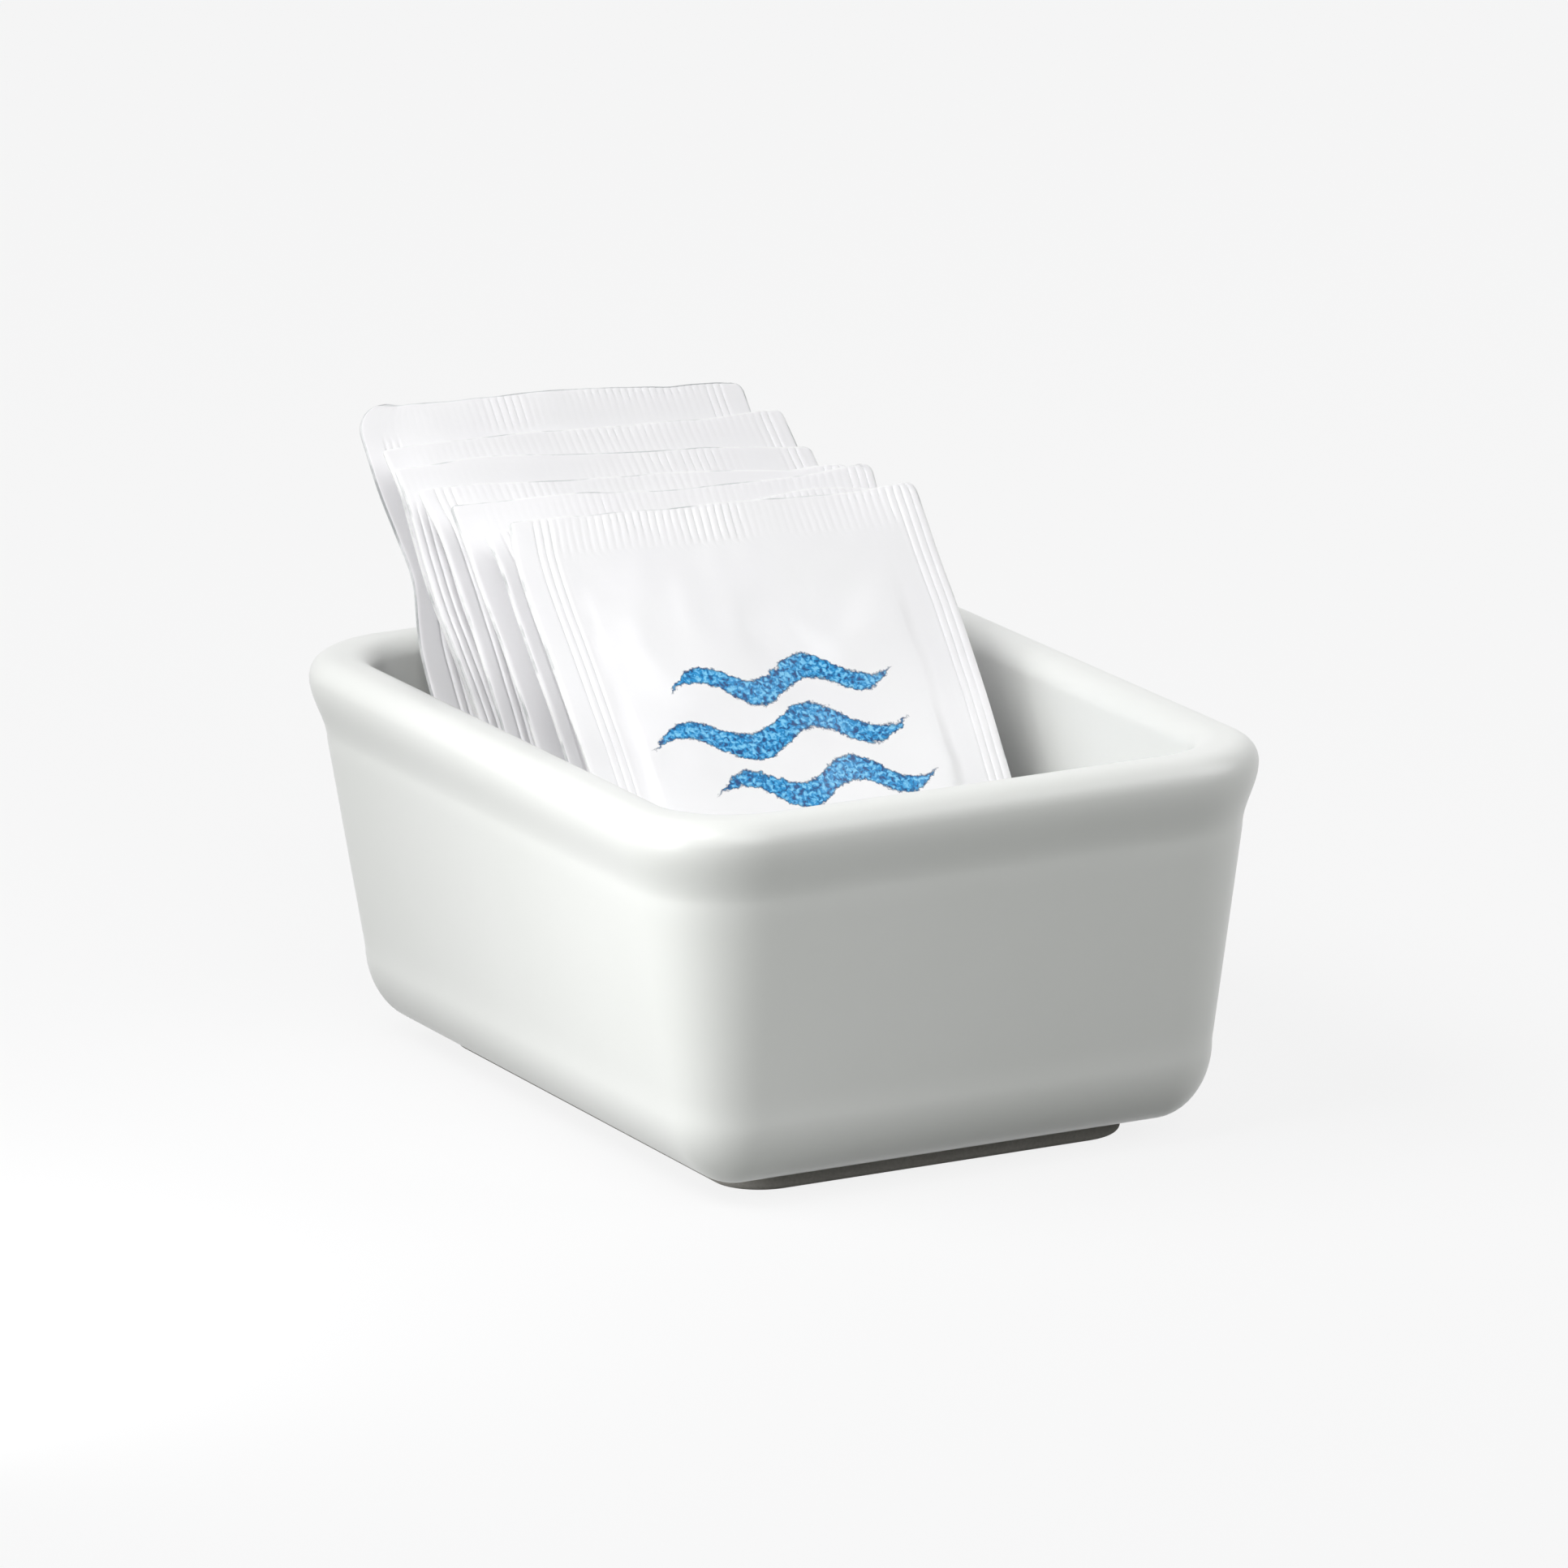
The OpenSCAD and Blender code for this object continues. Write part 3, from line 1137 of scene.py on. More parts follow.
@dataclass(frozen=True)
class Creases:
    """Creases, puckers, folds and the hollow in a filled sachet's faces, in metres.

    Attributes:
        fill_share: Thickness of the pouch here, as a share of the solids'.
        full_at: Half thickness from which the pouch creases in full.
        least: Least half thickness.
        crease_mm: Size of the soft creases, in millimetres.
        crease_height: Their height.
        crease_base: Level of the creases that stays on the plain pouch.
        fine_share: Height of the finer creases, as a share.
        slants: How far the soft and the finer creases run aslant, along z and along x.
        pucker_mm: Distance between the puckers along the seals, in millimetres.
        pucker_height: Their height.
        pucker_reach: How far they run in from the seals.
        pucker_start: Distance over which they start.
        side_stretch: How quickly those along the sides change with x and with z.
        end_stretch: How quickly those along the ends change with z and with x.
        fold_height: Depth of the fold that runs in from each corner of the pouch.
        fold_w: Half width of that fold at the corner.
        fold_spread: Growth of its half width along it.
        fold_reach: Length over which it fades.
        fold_start: Distance from the seals over which it starts.
        hollow_z: Height of the hollow in the upper part of a face.
        hollow_w: Its half width.
        hollow_h: Its half height.
    """

    fill_share: float = 0.97
    full_at: float = 1.2 * MM
    least: float = 0.01 * MM
    crease_mm: float = 11.0
    crease_height: float = 0.42 * MM
    crease_base: float = 0.7
    fine_share: float = 0.45
    slants: tuple[tuple[float, float], ...] = ((0.4, -0.3), (-0.3, 0.5))
    pucker_mm: float = 4.4
    pucker_height: float = 0.22 * MM
    pucker_reach: float = 5.5 * MM
    pucker_start: float = 2 * MM
    side_stretch: tuple[float, float] = (0.2, 0.15)
    end_stretch: tuple[float, float] = (0.2, 0.1)
    fold_height: float = 0.35 * MM
    fold_w: float = 0.9 * MM
    fold_spread: float = 0.12
    fold_reach: float = 7 * MM
    fold_start: float = 1 * MM
    hollow_z: float = 57 * MM
    hollow_w: float = 6 * MM
    hollow_h: float = 12 * MM


@dataclass(frozen=True)
class Heap:
    """The sugar in a sachet, in metres.

    Attributes:
        side_room: Room between the sugar and the side seals.
        low_room: Room between the sugar and the bottom seal.
        high_room: Room between the sugar and the top seal.
        clearance: Room between the sugar and the webs.
        grain_mm: Size of the lumps of its surface, in millimetres.
        grain_height: Their height.
        least: Least half thickness.
        columns: Places across.
        levels: Places up.
    """

    side_room: float = 3.6 * MM
    low_room: float = 5.6 * MM
    high_room: float = 6.4 * MM
    clearance: float = 0.3 * MM
    grain_mm: float = 1.1
    grain_height: float = 0.12 * MM
    least: float = 0.03 * MM
    columns: int = 41
    levels: int = 57


@dataclass(frozen=True)
class Stand:
    """How one sachet stands in the row, and how handling has bent it. Distances are in millimetres.

    Attributes:
        side: Shift to the right, as a share of the room beside it.
        lift: Lift along its own plane, as a share of its height.
        turn: Turn in its own plane, as a share of the turn that the room beside it allows.
        left: Its left side, as heights and places across.
        right: Its right side, in the same way.
        top: Its top, as places across and heights.
        corners: Radii of its left and right corners.
        margins: Widths of the plain margins outside its ribs, on the left and the right.
        flick: Distance that its upper right corner is bent forward.
        nod: Distance that its top seal is bent back.
        back: Distance that its upper half is bent back.
        curl: How far its left margin is bent forward, as heights and distances.
        valley: Depth of the hollow in the upper part of its face.
        valley_x: Place across of that hollow.
        rib_start: Place across where its ribs start to be pressed in full.
        press: Share of the full depth to which the ribs of its ends are pressed.
    """

    side: float
    lift: float
    turn: float
    left: Run
    right: Run
    top: Run
    corners: tuple[float, float]
    margins: tuple[float, float]
    flick: float = 0.0
    nod: float = 0.0
    back: float = 0.0
    curl: Run = ((0, -0.25), (70, -0.25))
    valley: float = 0.25
    valley_x: float = 0.0
    rib_start: float = -40.0
    press: float = 0.6


STANDS = (
    Stand(
        side=0.0, lift=0.104, turn=0.87,
        left=(
            (0, -25), (33, -25.9), (40, -26), (44, -25.4), (48.5, -24.6), (53, -25.2), (60, -25.8),
            (68, -25.8),
        ),
        right=((0, 24.4), (40, 24), (65, 23.5), (70, 23.4)),
        top=((-25, 71.1), (-9, 71.1), (1, 71.4), (18, 70.6), (21, 70.9), (24, 70.6)),
        corners=(4.2, 1.3), margins=(2.4, 2.0), back=2.6, curl=((0, -0.8), (36, -0.8), (46, 0.5), (70, 0.5)),
        valley_x=4.0, rib_start=-14.0, press=0.75,
    ),
    Stand(
        side=-0.33, lift=0.04, turn=0.93,
        left=((0, -22), (37, -23.2), (46, -24.2), (52, -25), (58, -25.3), (66, -25.4), (71, -25.9)),
        right=((0, 26), (40, 25.6), (68, 25), (72, 24.5)),
        top=((-26, 70.9), (-20, 71.4), (-7, 71.8), (10, 71.7), (18, 71.8), (21, 72.2), (25, 72.2)),
        corners=(0.5, 1.0), margins=(2.6, 0.8), nod=0.8, curl=((0, -0.5), (70, -0.2)),
        valley_x=-3.0, rib_start=-19.0,
    ),
    Stand(
        side=-0.85, lift=0.007, turn=1.3,
        left=((0, -23), (40, -24.6), (47, -25.5), (54, -26.5), (60, -26.9), (68, -27.2), (71, -27.6)),
        right=((0, 26), (40, 25.6), (68, 24.9), (71, 24.2)),
        top=((-28, 71.3), (-22, 71.3), (-15, 72.4), (-5, 72.2), (7, 71.9), (16, 71.8), (24, 71.3)),
        corners=(0.5, 0.9), margins=(0.6, 0.8), nod=0.65, valley_x=5.0, rib_start=-11.0,
    ),
    Stand(
        side=-0.86, lift=0.007, turn=1.3,
        left=((0, -23), (41, -24.9), (48, -25.4), (57, -26.1), (66, -27), (70, -27.9)),
        right=((0, 26), (40, 25.6), (70, 25)),
        top=((-28, 70.3), (-19, 70.8), (-8, 70.5), (4, 70.9), (14, 70.4), (20, 70), (24, 70.5), (26, 69.8)),
        corners=(0.5, 0.8), margins=(1.0, 0.6), flick=0.7, nod=0.9, valley_x=-5.0, press=0.5,
    ),
    Stand(
        side=-0.78, lift=0.007, turn=1.1,
        left=((0, -22), (44, -24.3), (52, -25.1), (61, -26.2), (71, -26.9)),
        right=((0, 26.2), (40, 25.8), (71, 25)),
        top=((-27, 70.6), (-22, 70.4), (-12, 70.8), (0, 70.4), (12, 70.7), (20, 71.2), (25, 71.5)),
        corners=(0.6, 1.2), margins=(3.2, 0.5), flick=1.2, nod=0.55, valley_x=2.0, rib_start=-16.0, press=0.5,
    ),
    Stand(
        side=-0.78, lift=0.0, turn=1.05,
        left=((0, -22), (45, -23.7), (52, -24.4), (60, -25.2), (67, -25.6), (70, -26.4)),
        right=((0, 26.2), (40, 25.8), (71, 24.6)),
        top=((-26, 69.5), (-21, 69.2), (-10, 69.8), (5, 70.3), (13, 71.6), (16, 71.9), (24, 71)),
        corners=(0.5, 1.0), margins=(1.6, 0.8), nod=0.75, curl=((0, -0.45), (70, -0.45)),
    ),
    Stand(
        side=-0.76, lift=0.01, turn=1.1,
        left=(
            (0, -22), (40, -24.2), (46, -24.8), (53, -25.5), (58, -26.1), (64, -26.7), (68, -26.5),
            (71, -25.9),
        ),
        right=((0, 27), (35, 26.3), (45, 26), (56, 25.3), (64, 24.5), (71, 23.8)),
        top=((-26, 71.1), (-6, 71.2), (7, 71.7), (18, 71.8), (20, 71.6), (21.5, 72.3), (24, 72.2)),
        corners=(0.5, 1.2), margins=(2.4, 0.6), flick=0.9, nod=0.45, valley=0.95, valley_x=4.5, press=0.75,
    ),
)


@dataclass(frozen=True)
class Row:
    """The row of sachets, from the rear to the front, and what it takes from the dish.

    Attributes:
        dish: The dish that holds it.
        sizes: The sachets' sizes.
        lean: Angle between the sachets and the vertical.
        gap: Room between two sachets, as in the solids.
        seat_gap: Room between a sachet and what it rests on, as in the solids.
        stands: How each sachet stands.
    """

    dish: Dish
    sizes: SachetSizes
    lean: float
    gap: float = 0.35 * MM
    seat_gap: float = 0.3 * MM
    stands: tuple[Stand, ...] = STANDS

    @property
    def pitch(self) -> float:
        """Step along the floor from one sachet to the next."""
        return (self.sizes.thickness + self.gap) / math.cos(self.lean)

    @property
    def side_room(self) -> float:
        """Room on each side of a sachet that stands in the middle of the dish."""
        return (self.dish.rim_w - self.sizes.width) / 2 - self.dish.rim_t - self.dish.cavity_draft_w

    @property
    def rear_y(self) -> float:
        """Where the rear sachet's plane meets the floor, as it leans on the rim's inner rounding.

        Returns:
            Its place to the rear.
        """
        dish = self.dish
        lip_y = dish.rim_l / 2 - dish.rim_t + dish.lip_w
        drop = dish.height - dish.lip_h - dish.floor_z
        reach = math.hypot(dish.lip_w * math.cos(self.lean), dish.lip_h * math.sin(self.lean))
        rest = reach + self.sizes.thickness / 2 + self.seat_gap
        return lip_y - drop * math.tan(self.lean) - rest / math.cos(self.lean)

    def matrix(self, number: int) -> Matrix:
        """Place of one sachet.

        Args:
            number: The sachet's number, from 1 at the rear.

        Returns:
            The matrix from its own plane, with x across, y to the rear and z up, to the row frame.
        """
        stand = self.stands[number - 1]
        turn = stand.turn * math.asin(self.side_room / self.sizes.height)
        drop = self.sizes.width / 2 * math.sin(turn)
        climb = drop + self.seat_gap / math.cos(self.lean) + stand.lift * self.sizes.height
        rear_y = self.rear_y - (number - 1) * self.pitch
        return (
            Matrix.Translation((stand.side * self.side_room, rear_y, self.dish.floor_z))
            @ Matrix.Rotation(-self.lean, 4, "X")
            @ Matrix.Translation((0, 0, climb))
            @ Matrix.Rotation(turn, 4, "Y")
        )


@dataclass(frozen=True)
class Sachet:
    """One sugar packet: a front web, a back web and the sugar between them.

    Its methods take x and z, the places across and up the plain grid, in metres from the bottom centre.

    Attributes:
        number: Its number, from 1 at the rear.
        row: The row that it stands in.
        crimp: The ribs of its seals.
        bends: Its bends.
        creases: Its creases.
        heap: Its sugar.
        row_step: Height of a row of the mesh between the seals.
        end_rows_mm: Rows of the mesh in from each end, in millimetres.
    """

    number: int
    row: Row
    crimp: Crimp = Crimp()
    bends: Bends = Bends()
    creases: Creases = Creases()
    heap: Heap = Heap()
    row_step: float = 1.2 * MM
    end_rows_mm: tuple[float, ...] = (0.0, 0.18, 0.42, 0.7, 1.2, 1.8, 2.4, 3.0, 3.6)

    @property
    def body(self) -> str:
        """Name of its body."""
        return f"packet_{self.number}"

    @property
    def stand(self) -> Stand:
        """How it stands."""
        return self.row.stands[self.number - 1]

    @property
    def sizes(self) -> SachetSizes:
        """Its sizes."""
        return self.row.sizes

    @property
    def rib(self) -> float:
        """Distance from one rib of its seals to the next."""
        return self.sizes.width / self.crimp.count

    def _noise(self, pattern: int, size_mm: float) -> SoftNoise:
        """One of its own random patterns."""
        return SoftNoise(PATTERNS_EACH * self.number + pattern, size_mm * MM)

    def _columns(self) -> tuple[np.ndarray, np.ndarray]:
        """Places across the web.

        Returns:
            The close places of the crimped ends, and those of the filled body, which the first hold too.
        """
        crimp = self.crimp
        fine = np.arange(crimp.count * crimp.steps + 1)
        strip = max(self.stand.margins) * MM + crimp.side_lines + crimp.side_spare
        side = math.ceil(strip / self.rib) * crimp.steps
        keep = (fine < side) | (fine > fine[-1] - side) | (fine % crimp.steps == 0)
        return fine, fine[keep]

    def _levels(self) -> list[tuple[float, bool]]:
        """Places up the web.

        Returns:
            Heights from the bottom, each with whether its row is as close as the crimped ends need.
        """
        tall, end = self.sizes.height, self.sizes.end_seal
        low = [*(MM * z for z in self.end_rows_mm), end - self.crimp.fade, end]
        body_h = tall - 2 * end
        steps = round(body_h / self.row_step)
        body = [end + body_h * k / steps for k in range(1, steps)]
        high = [tall - z for z in reversed(low)]
        return [(z, True) for z in low] + [(z, False) for z in body] + [(z, True) for z in high]

    def _warp(self, x: np.ndarray, z: np.ndarray) -> tuple[np.ndarray, np.ndarray]:
        """Moves the plain grid to the sachet's outline, with round corners and a slightly torn top.

        Args:
            x: Places across.
            z: Places up.

        Returns:
            Places across and up.
        """
        stand, bends = self.stand, self.bends
        half, tall = self.sizes.width / 2, self.sizes.height
        r = np.where(x < 0, *stand.corners) * MM
        into = np.clip(r - np.minimum(z, tall - z), 0, r)
        edge = half - r + np.sqrt(r * r - into * into)
        inner = half - 2 * r
        share = np.clip((np.abs(x) - inner) / (half - inner), 0, None)
        rounded = np.where(np.abs(x) > inner, np.sign(x) * (inner + share * (edge - inner)), x)
        notches = bends.notch_height * self._noise(Pattern.NOTCHES, bends.notch_mm).at(x, 0 * x)
        rise = follow(stand.top, x) - tall + notches
        up = z + rise * smooth(past(z, tall, bends.outline_from))
        left, right = follow(stand.left, up), follow(stand.right, up)
        return left + (right - left) * (rounded / half + 1) / 2, up

    def _middle(self, x: np.ndarray, z: np.ndarray) -> np.ndarray:
        """How far the sachet's middle is bent to the rear.

        Args:
            x: Places across.
            z: Places up.

        Returns:
            Distances to the rear.
        """
        stand, bends, end = self.stand, self.bends, self.sizes.end_seal
        half, tall = self.sizes.width / 2, self.sizes.height
        corner_x, corner_z = bends.corner_from
        corner = smooth(past(x, half, corner_x)) * smooth(past(z, tall, corner_z))
        band = smooth((z - tall + 2 * end) / (2 * end)) ** 2
        upper = past(z, tall, bends.back_from) ** 2
        left = past(-x, half, bends.curl_from)
        curl = follow(stand.curl, z) * (1 + bends.curl_ease) * left ** 2 / (left + bends.curl_ease)
        bent = (stand.nod * band + stand.back * upper - stand.flick * corner ** 2) * MM - curl
        side = smooth(past(np.abs(x), half, bends.side_from))
        sway = self._noise(Pattern.SWAY, bends.sway_mm).at(x * bends.sway_stretch, z) * side
        wave = self._noise(Pattern.WAVE, bends.wave_mm).at(x, z * bends.wave_stretch)
        wave = wave * smooth(past(z, tall, bends.wave_from))
        strip = np.maximum(side, smooth((z - tall + bends.crinkle_reach * end) / end))
        crinkle = self._noise(Pattern.CRINKLE, bends.crinkle_mm).at(x, z) * strip * bends.crinkle_height
        to_edge = np.minimum(half - np.abs(x), tall - z)
        roll = bends.roll * np.clip(1 - to_edge / bends.roll_reach, 0, 1) ** 2
        return bent + bends.flutter * (sway + wave) + crinkle + roll

    def _crimped(self, x: np.ndarray, z: np.ndarray) -> np.ndarray:
        """Height of the ribs of the seals.

        Args:
            x: Places across.
            z: Places up.

        Returns:
            Heights, alike on both webs.
        """
        sizes, crimp, stand = self.sizes, self.crimp, self.stand
        from_side, to_end = sizes.width / 2 - np.abs(x), np.minimum(z, sizes.height - z)
        margin_w = np.where(x < 0, *stand.margins) * MM
        last_line = np.minimum(margin_w + crimp.side_lines, sizes.side_seal + self.rib / 2)
        ends = smooth((sizes.end_seal - to_end) / crimp.fade)
        sides = smooth((last_line - from_side) / crimp.fade)
        margin = smooth((from_side - margin_w) / crimp.fade) * smooth(to_end / crimp.end_margin)
        patches = crimp.patch_mean + crimp.patch_swing * self._noise(Pattern.PRESS, crimp.patch_mm).at(x, z)
        press = np.clip(patches, crimp.patch_least, crimp.patch_most) * stand.press
        started = crimp.faint + (1 - crimp.faint) * smooth((x - stand.rib_start * MM) / crimp.start_w)
        pressed = np.maximum(press * started * ends, crimp.side_share * sides * (1 - ends * (1 - started)))
        sway = crimp.sway * self._noise(Pattern.RIB_SWAY, crimp.sway_mm).at(x, z)
        ribs = np.clip(np.cos(2 * np.pi * x / self.rib + sway), 0, 1) ** crimp.sharpness
        return crimp.height * ribs * pressed * margin

    def _bulge(self, x: np.ndarray, z: np.ndarray, face: Face) -> np.ndarray:
        """Half thickness of the hollow on one side, with its creases and puckers.

        Args:
            x: Places across.
            z: Places up.
            face: The side.

        Returns:
            Distances from the middle to the web's inner skin.
        """
        sizes, stand, creases = self.sizes, self.stand, self.creases
        first = Pattern.FRONT_FACE if face is Face.FRONT else Pattern.BACK_FACE
        plain = sizes.pouch(x, z)
        filled = smooth(plain / creases.full_at)
        wide, fine = (
            self._noise(first + k, creases.crease_mm / (1 + k)).crests(x + a * z, z + b * x)
            for k, (a, b) in enumerate(creases.slants)
        )
        lumps = (wide + creases.fine_share * fine - creases.crease_base) * creases.crease_height * filled
        to_side = sizes.width / 2 - sizes.side_seal - np.abs(x)
        to_end = np.minimum(z, sizes.height - z) - sizes.end_seal
        (a, b), (c, d) = creases.side_stretch, creases.end_stretch
        side_rows = self._noise(first + 2, creases.pucker_mm).crests(x * a + z * b, z)
        end_rows = self._noise(first + 3, creases.pucker_mm).crests(x, z * c + x * d)
        reach, start = creases.pucker_reach, creases.pucker_start
        puckers = side_rows * np.exp(-np.abs(to_side) / reach) + end_rows * np.exp(-np.abs(to_end) / reach)
        puckers *= creases.pucker_height * smooth(to_side / start) * smooth(to_end / start)
        along, off = (to_side + to_end) / 2, to_side - to_end
        fold = np.exp(-((off / (creases.fold_w + creases.fold_spread * np.abs(along))) ** 2))
        fold *= np.exp(-np.clip(along, 0, None) / creases.fold_reach)
        fold *= smooth(to_side / creases.fold_start) * smooth(to_end / creases.fold_start)
        puckers -= creases.fold_height * fold
        hollow = np.exp(-((x - stand.valley_x * MM) / creases.hollow_w) ** 2)
        hollow *= np.exp(-((z - creases.hollow_z) / creases.hollow_h) ** 2)
        dent = stand.valley * MM * hollow * filled
        return np.maximum(plain * creases.fill_share - dent + lumps + puckers, creases.least)

    def _skin(self, x: np.ndarray, z: np.ndarray, face: Face, depth: float) -> Points:
        """Points of one skin of a web.

        Args:
            x: Places across.
            z: Places up.
            face: The web's side.
            depth: Distance out from the web's inner skin.

        Returns:
            Points in the sachet's own plane.
        """
        y = self._middle(x, z) + self._crimped(x, z) + face.value * (self._bulge(x, z, face) + depth)
        across, up = self._warp(x, z)
        return np.column_stack([across, y, up])

    def web(self, face: Face, paper: bpy.types.Material, edge: bpy.types.Material) -> bpy.types.Object:
        """Builds one web as a closed sheet.

        Args:
            face: The web's side.
            paper: The paper's material.
            edge: The cut edge's material, whose grey is painted shade.

        Returns:
            The web.
        """
        fine, coarse = self._columns()
        rows = [(z, fine if close else coarse) for z, close in self._levels()]
        starts = np.cumsum([0] + [len(columns) for _, columns in rows])
        x = np.concatenate([columns for _, columns in rows]) * self.rib / self.crimp.steps
        x -= self.sizes.width / 2
        z = np.concatenate([np.full(len(columns), level) for level, columns in rows])
        outer, inner = (self._skin(x, z, face, depth) for depth in (self.sizes.web, 0.0))
        count = len(x)
        skins: list[tuple[int, ...]] = []
        for number, ((_, low), (_, high)) in enumerate(zip(rows, rows[1:])):
            skins += self._strip(low, starts[number], high, starts[number + 1])
        if face is Face.BACK:
            skins = [tuple(reversed(f)) for f in skins]
        inners = [tuple(v + count for v in reversed(f)) for f in skins]
        rim = self._rim(starts)
        pairs = zip(rim, rim[1:] + rim[:1]) if face is Face.BACK else zip(rim[1:] + rim[:1], rim)
        walls = [(a, b, b + count, a + count) for a, b in pairs]
        # The outline faces and the edge walls take the cut edge's grey, which is painted shade.
        slots = self._trim(rows) + [0] * len(inners) + [1] * len(walls)
        name = f"{self.body}_{face.name.lower()}_paper"
        web = add_mesh(name, np.concatenate([outer, inner]), skins + inners + walls, [paper, edge], slots)
        self._map_plane(web, np.concatenate([x, x]), np.concatenate([z, z]))
        web.data.transform(self.row.matrix(self.number))
        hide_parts(f"{self.body}_{face.name.lower()}_web")
        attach(web, self.body)
        return web

    @staticmethod
    def _strip(low: np.ndarray, low_start: int, high: np.ndarray, high_start: int) -> list[tuple[int, ...]]:
        """Faces between two rows, one of which may hold more places than the other.

        Args:
            low: The lower row's places.
            low_start: Number of its first vertex.
            high: The upper row's places.
            high_start: Number of its first vertex.

        Returns:
            Faces wound to look to the front.
        """
        shared = low if len(low) <= len(high) else high
        low_at, high_at = np.searchsorted(low, shared), np.searchsorted(high, shared)
        faces = []
        for k in range(len(shared) - 1):
            bottom = range(low_start + low_at[k], low_start + low_at[k + 1] + 1)
            top = range(high_start + high_at[k], high_start + high_at[k + 1] + 1)
            faces.append((*(int(v) for v in bottom), *(int(v) for v in reversed(top))))
        return faces

    @staticmethod
    def _trim(rows: Sequence[tuple[float, np.ndarray]]) -> list[int]:
        """Picks the slots of a skin's faces.

        Args:
            rows: The mesh's rows, each as its height and its places across.

        Returns:
            1 on the outermost faces along the outline, which take the cut edge's grey as a painted shaded
            outline, and 0 elsewhere.
        """
        slots: list[int] = []
        for number, (low, high) in enumerate(zip(rows, rows[1:])):
            count = min(len(low[1]), len(high[1])) - 1
            end = number in (0, len(rows) - 2)
            slots += [1] * count if end else [1] + [0] * (count - 2) + [1]
        return slots

    @staticmethod
    def _rim(starts: Sequence[int]) -> list[int]:
        """Follows the outline of a sheet that is made of rows.

        Args:
            starts: Number of each row's first vertex, and the count of them all.

        Returns:
            Vertex numbers along it, anticlockwise seen from the front.
        """
        first, *_, last, end = (int(start) for start in starts)
        middle = [int(start) for start in starts[1:-2]]
        bottom = list(range(first, int(starts[1])))
        right = [int(start) - 1 for start in starts[2:-1]]
        top = list(range(end - 1, last - 1, -1))
        return bottom + right + top + middle[::-1]

    @staticmethod
    def _map_plane(web: bpy.types.Object, x: np.ndarray, z: np.ndarray) -> None:
        """Keeps each point's place in the sachet's plane as a map, from which the print is laid out.

        Args:
            web: The web.
            x: Places across of its points.
            z: Places up of its points.
        """
        layer = web.data.uv_layers.new(name=PLANE_MAP)
        corners = np.empty(len(web.data.loops), np.int32)
        web.data.loops.foreach_get("vertex_index", corners)
        layer.data.foreach_set("uv", np.column_stack([x[corners], z[corners]]).ravel() / PLANE_UNIT)

    def fill(self, sugar: bpy.types.Material) -> bpy.types.Object:
        """Builds the sugar as one closed heap inside the webs.

        Args:
            sugar: The sugar's material.

        Returns:
            The heap.
        """
        sizes, room = self.sizes, self.heap
        half = sizes.width / 2 - sizes.side_seal - room.side_room
        lowest, highest = sizes.end_seal + room.low_room, sizes.height - sizes.end_seal - room.high_room
        grid = np.meshgrid(np.linspace(-half, half, room.columns), np.linspace(lowest, highest, room.levels))
        x, z = (places.ravel() for places in grid)
        grains = self._noise(Pattern.GRAINS, room.grain_mm)
        skins = []
        for face in Face:
            gap = room.clearance + room.grain_height * (1 + grains.at(x, z + face.value))
            y = self._middle(x, z) + face.value * np.maximum(self._bulge(x, z, face) - gap, room.least)
            across, up = self._warp(x, z)
            skins.append(np.column_stack([across, y, up]))
        wide, count = room.columns, len(x)
        front = [
            (r * wide + c, r * wide + c + 1, (r + 1) * wide + c + 1, (r + 1) * wide + c)
            for r in range(room.levels - 1) for c in range(wide - 1)
        ]
        back = [tuple(v + count for v in reversed(f)) for f in front]
        rim = self._rim(np.arange(room.levels + 1) * wide)
        walls = [(b, a, a + count, b + count) for a, b in zip(rim, rim[1:] + rim[:1])]
        heap = add_mesh(f"{self.body}_sugar_heap", np.concatenate(skins), front + back + walls, [sugar])
        heap.data.transform(self.row.matrix(self.number))
        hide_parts(f"{self.body}_sugar")
        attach(heap, self.body)
        return heap


# The studio


def way_to(azimuth_deg: float, elevation_deg: float) -> Vector:
    """Way from the object to something round it, by its angle to the right of the front and its height."""
    a, e = math.radians(azimuth_deg), math.radians(elevation_deg)
    return Vector((math.sin(a) * math.cos(e), -math.cos(a) * math.cos(e), math.sin(e)))


@dataclass(frozen=True)
class Camera:
    """The camera, as the photograph's outlines of the dish give it.

    Attributes:
        azimuth_deg: Its way round the object; a negative one lies to the left.
        elevation_deg: Its height above the table's level, seen from the object.
        roll_deg: Its turn about its own axis.
        distance: Distance from the point that it looks at.
        aside: Shift of that point to the right.
        above: Shift of that point upward in the picture.
        lens_mm: Focal length.
        sensor_mm: Width of the sensor.
        reach: Nearest and farthest distances that it shows.
    """

    azimuth_deg: float = -26.24
    elevation_deg: float = 14.25
    roll_deg: float = -1.168
    distance: float = 1.5898
    aside: float = 0.63 * MM
    above: float = 11.91 * MM
    lens_mm: float = 324.6
    sensor_mm: float = 36.0
    reach: tuple[float, float] = (0.05, 20.0)

    def build(self, middle: Vector) -> None:
        """Places the camera.

        Args:
            middle: The middle of the dish.
        """
        back = way_to(self.azimuth_deg, self.elevation_deg)
        right = way_to(self.azimuth_deg + 90, 0)
        up = back.cross(right)
        target = middle + right * self.aside + up * self.above
        r = math.radians(self.roll_deg)
        rolled_right = right * math.cos(r) + up * math.sin(r)
        rolled_up = up * math.cos(r) - right * math.sin(r)
        data = bpy.data.cameras.new("camera")
        data.lens, data.sensor_width = self.lens_mm, self.sensor_mm
        data.clip_start, data.clip_end = self.reach
        camera = add_object("camera", data)
        axes = Matrix((rolled_right, rolled_up, back)).transposed().to_4x4()
        camera.matrix_world = Matrix.Translation(target + back * self.distance) @ axes
        bpy.context.scene.camera = camera


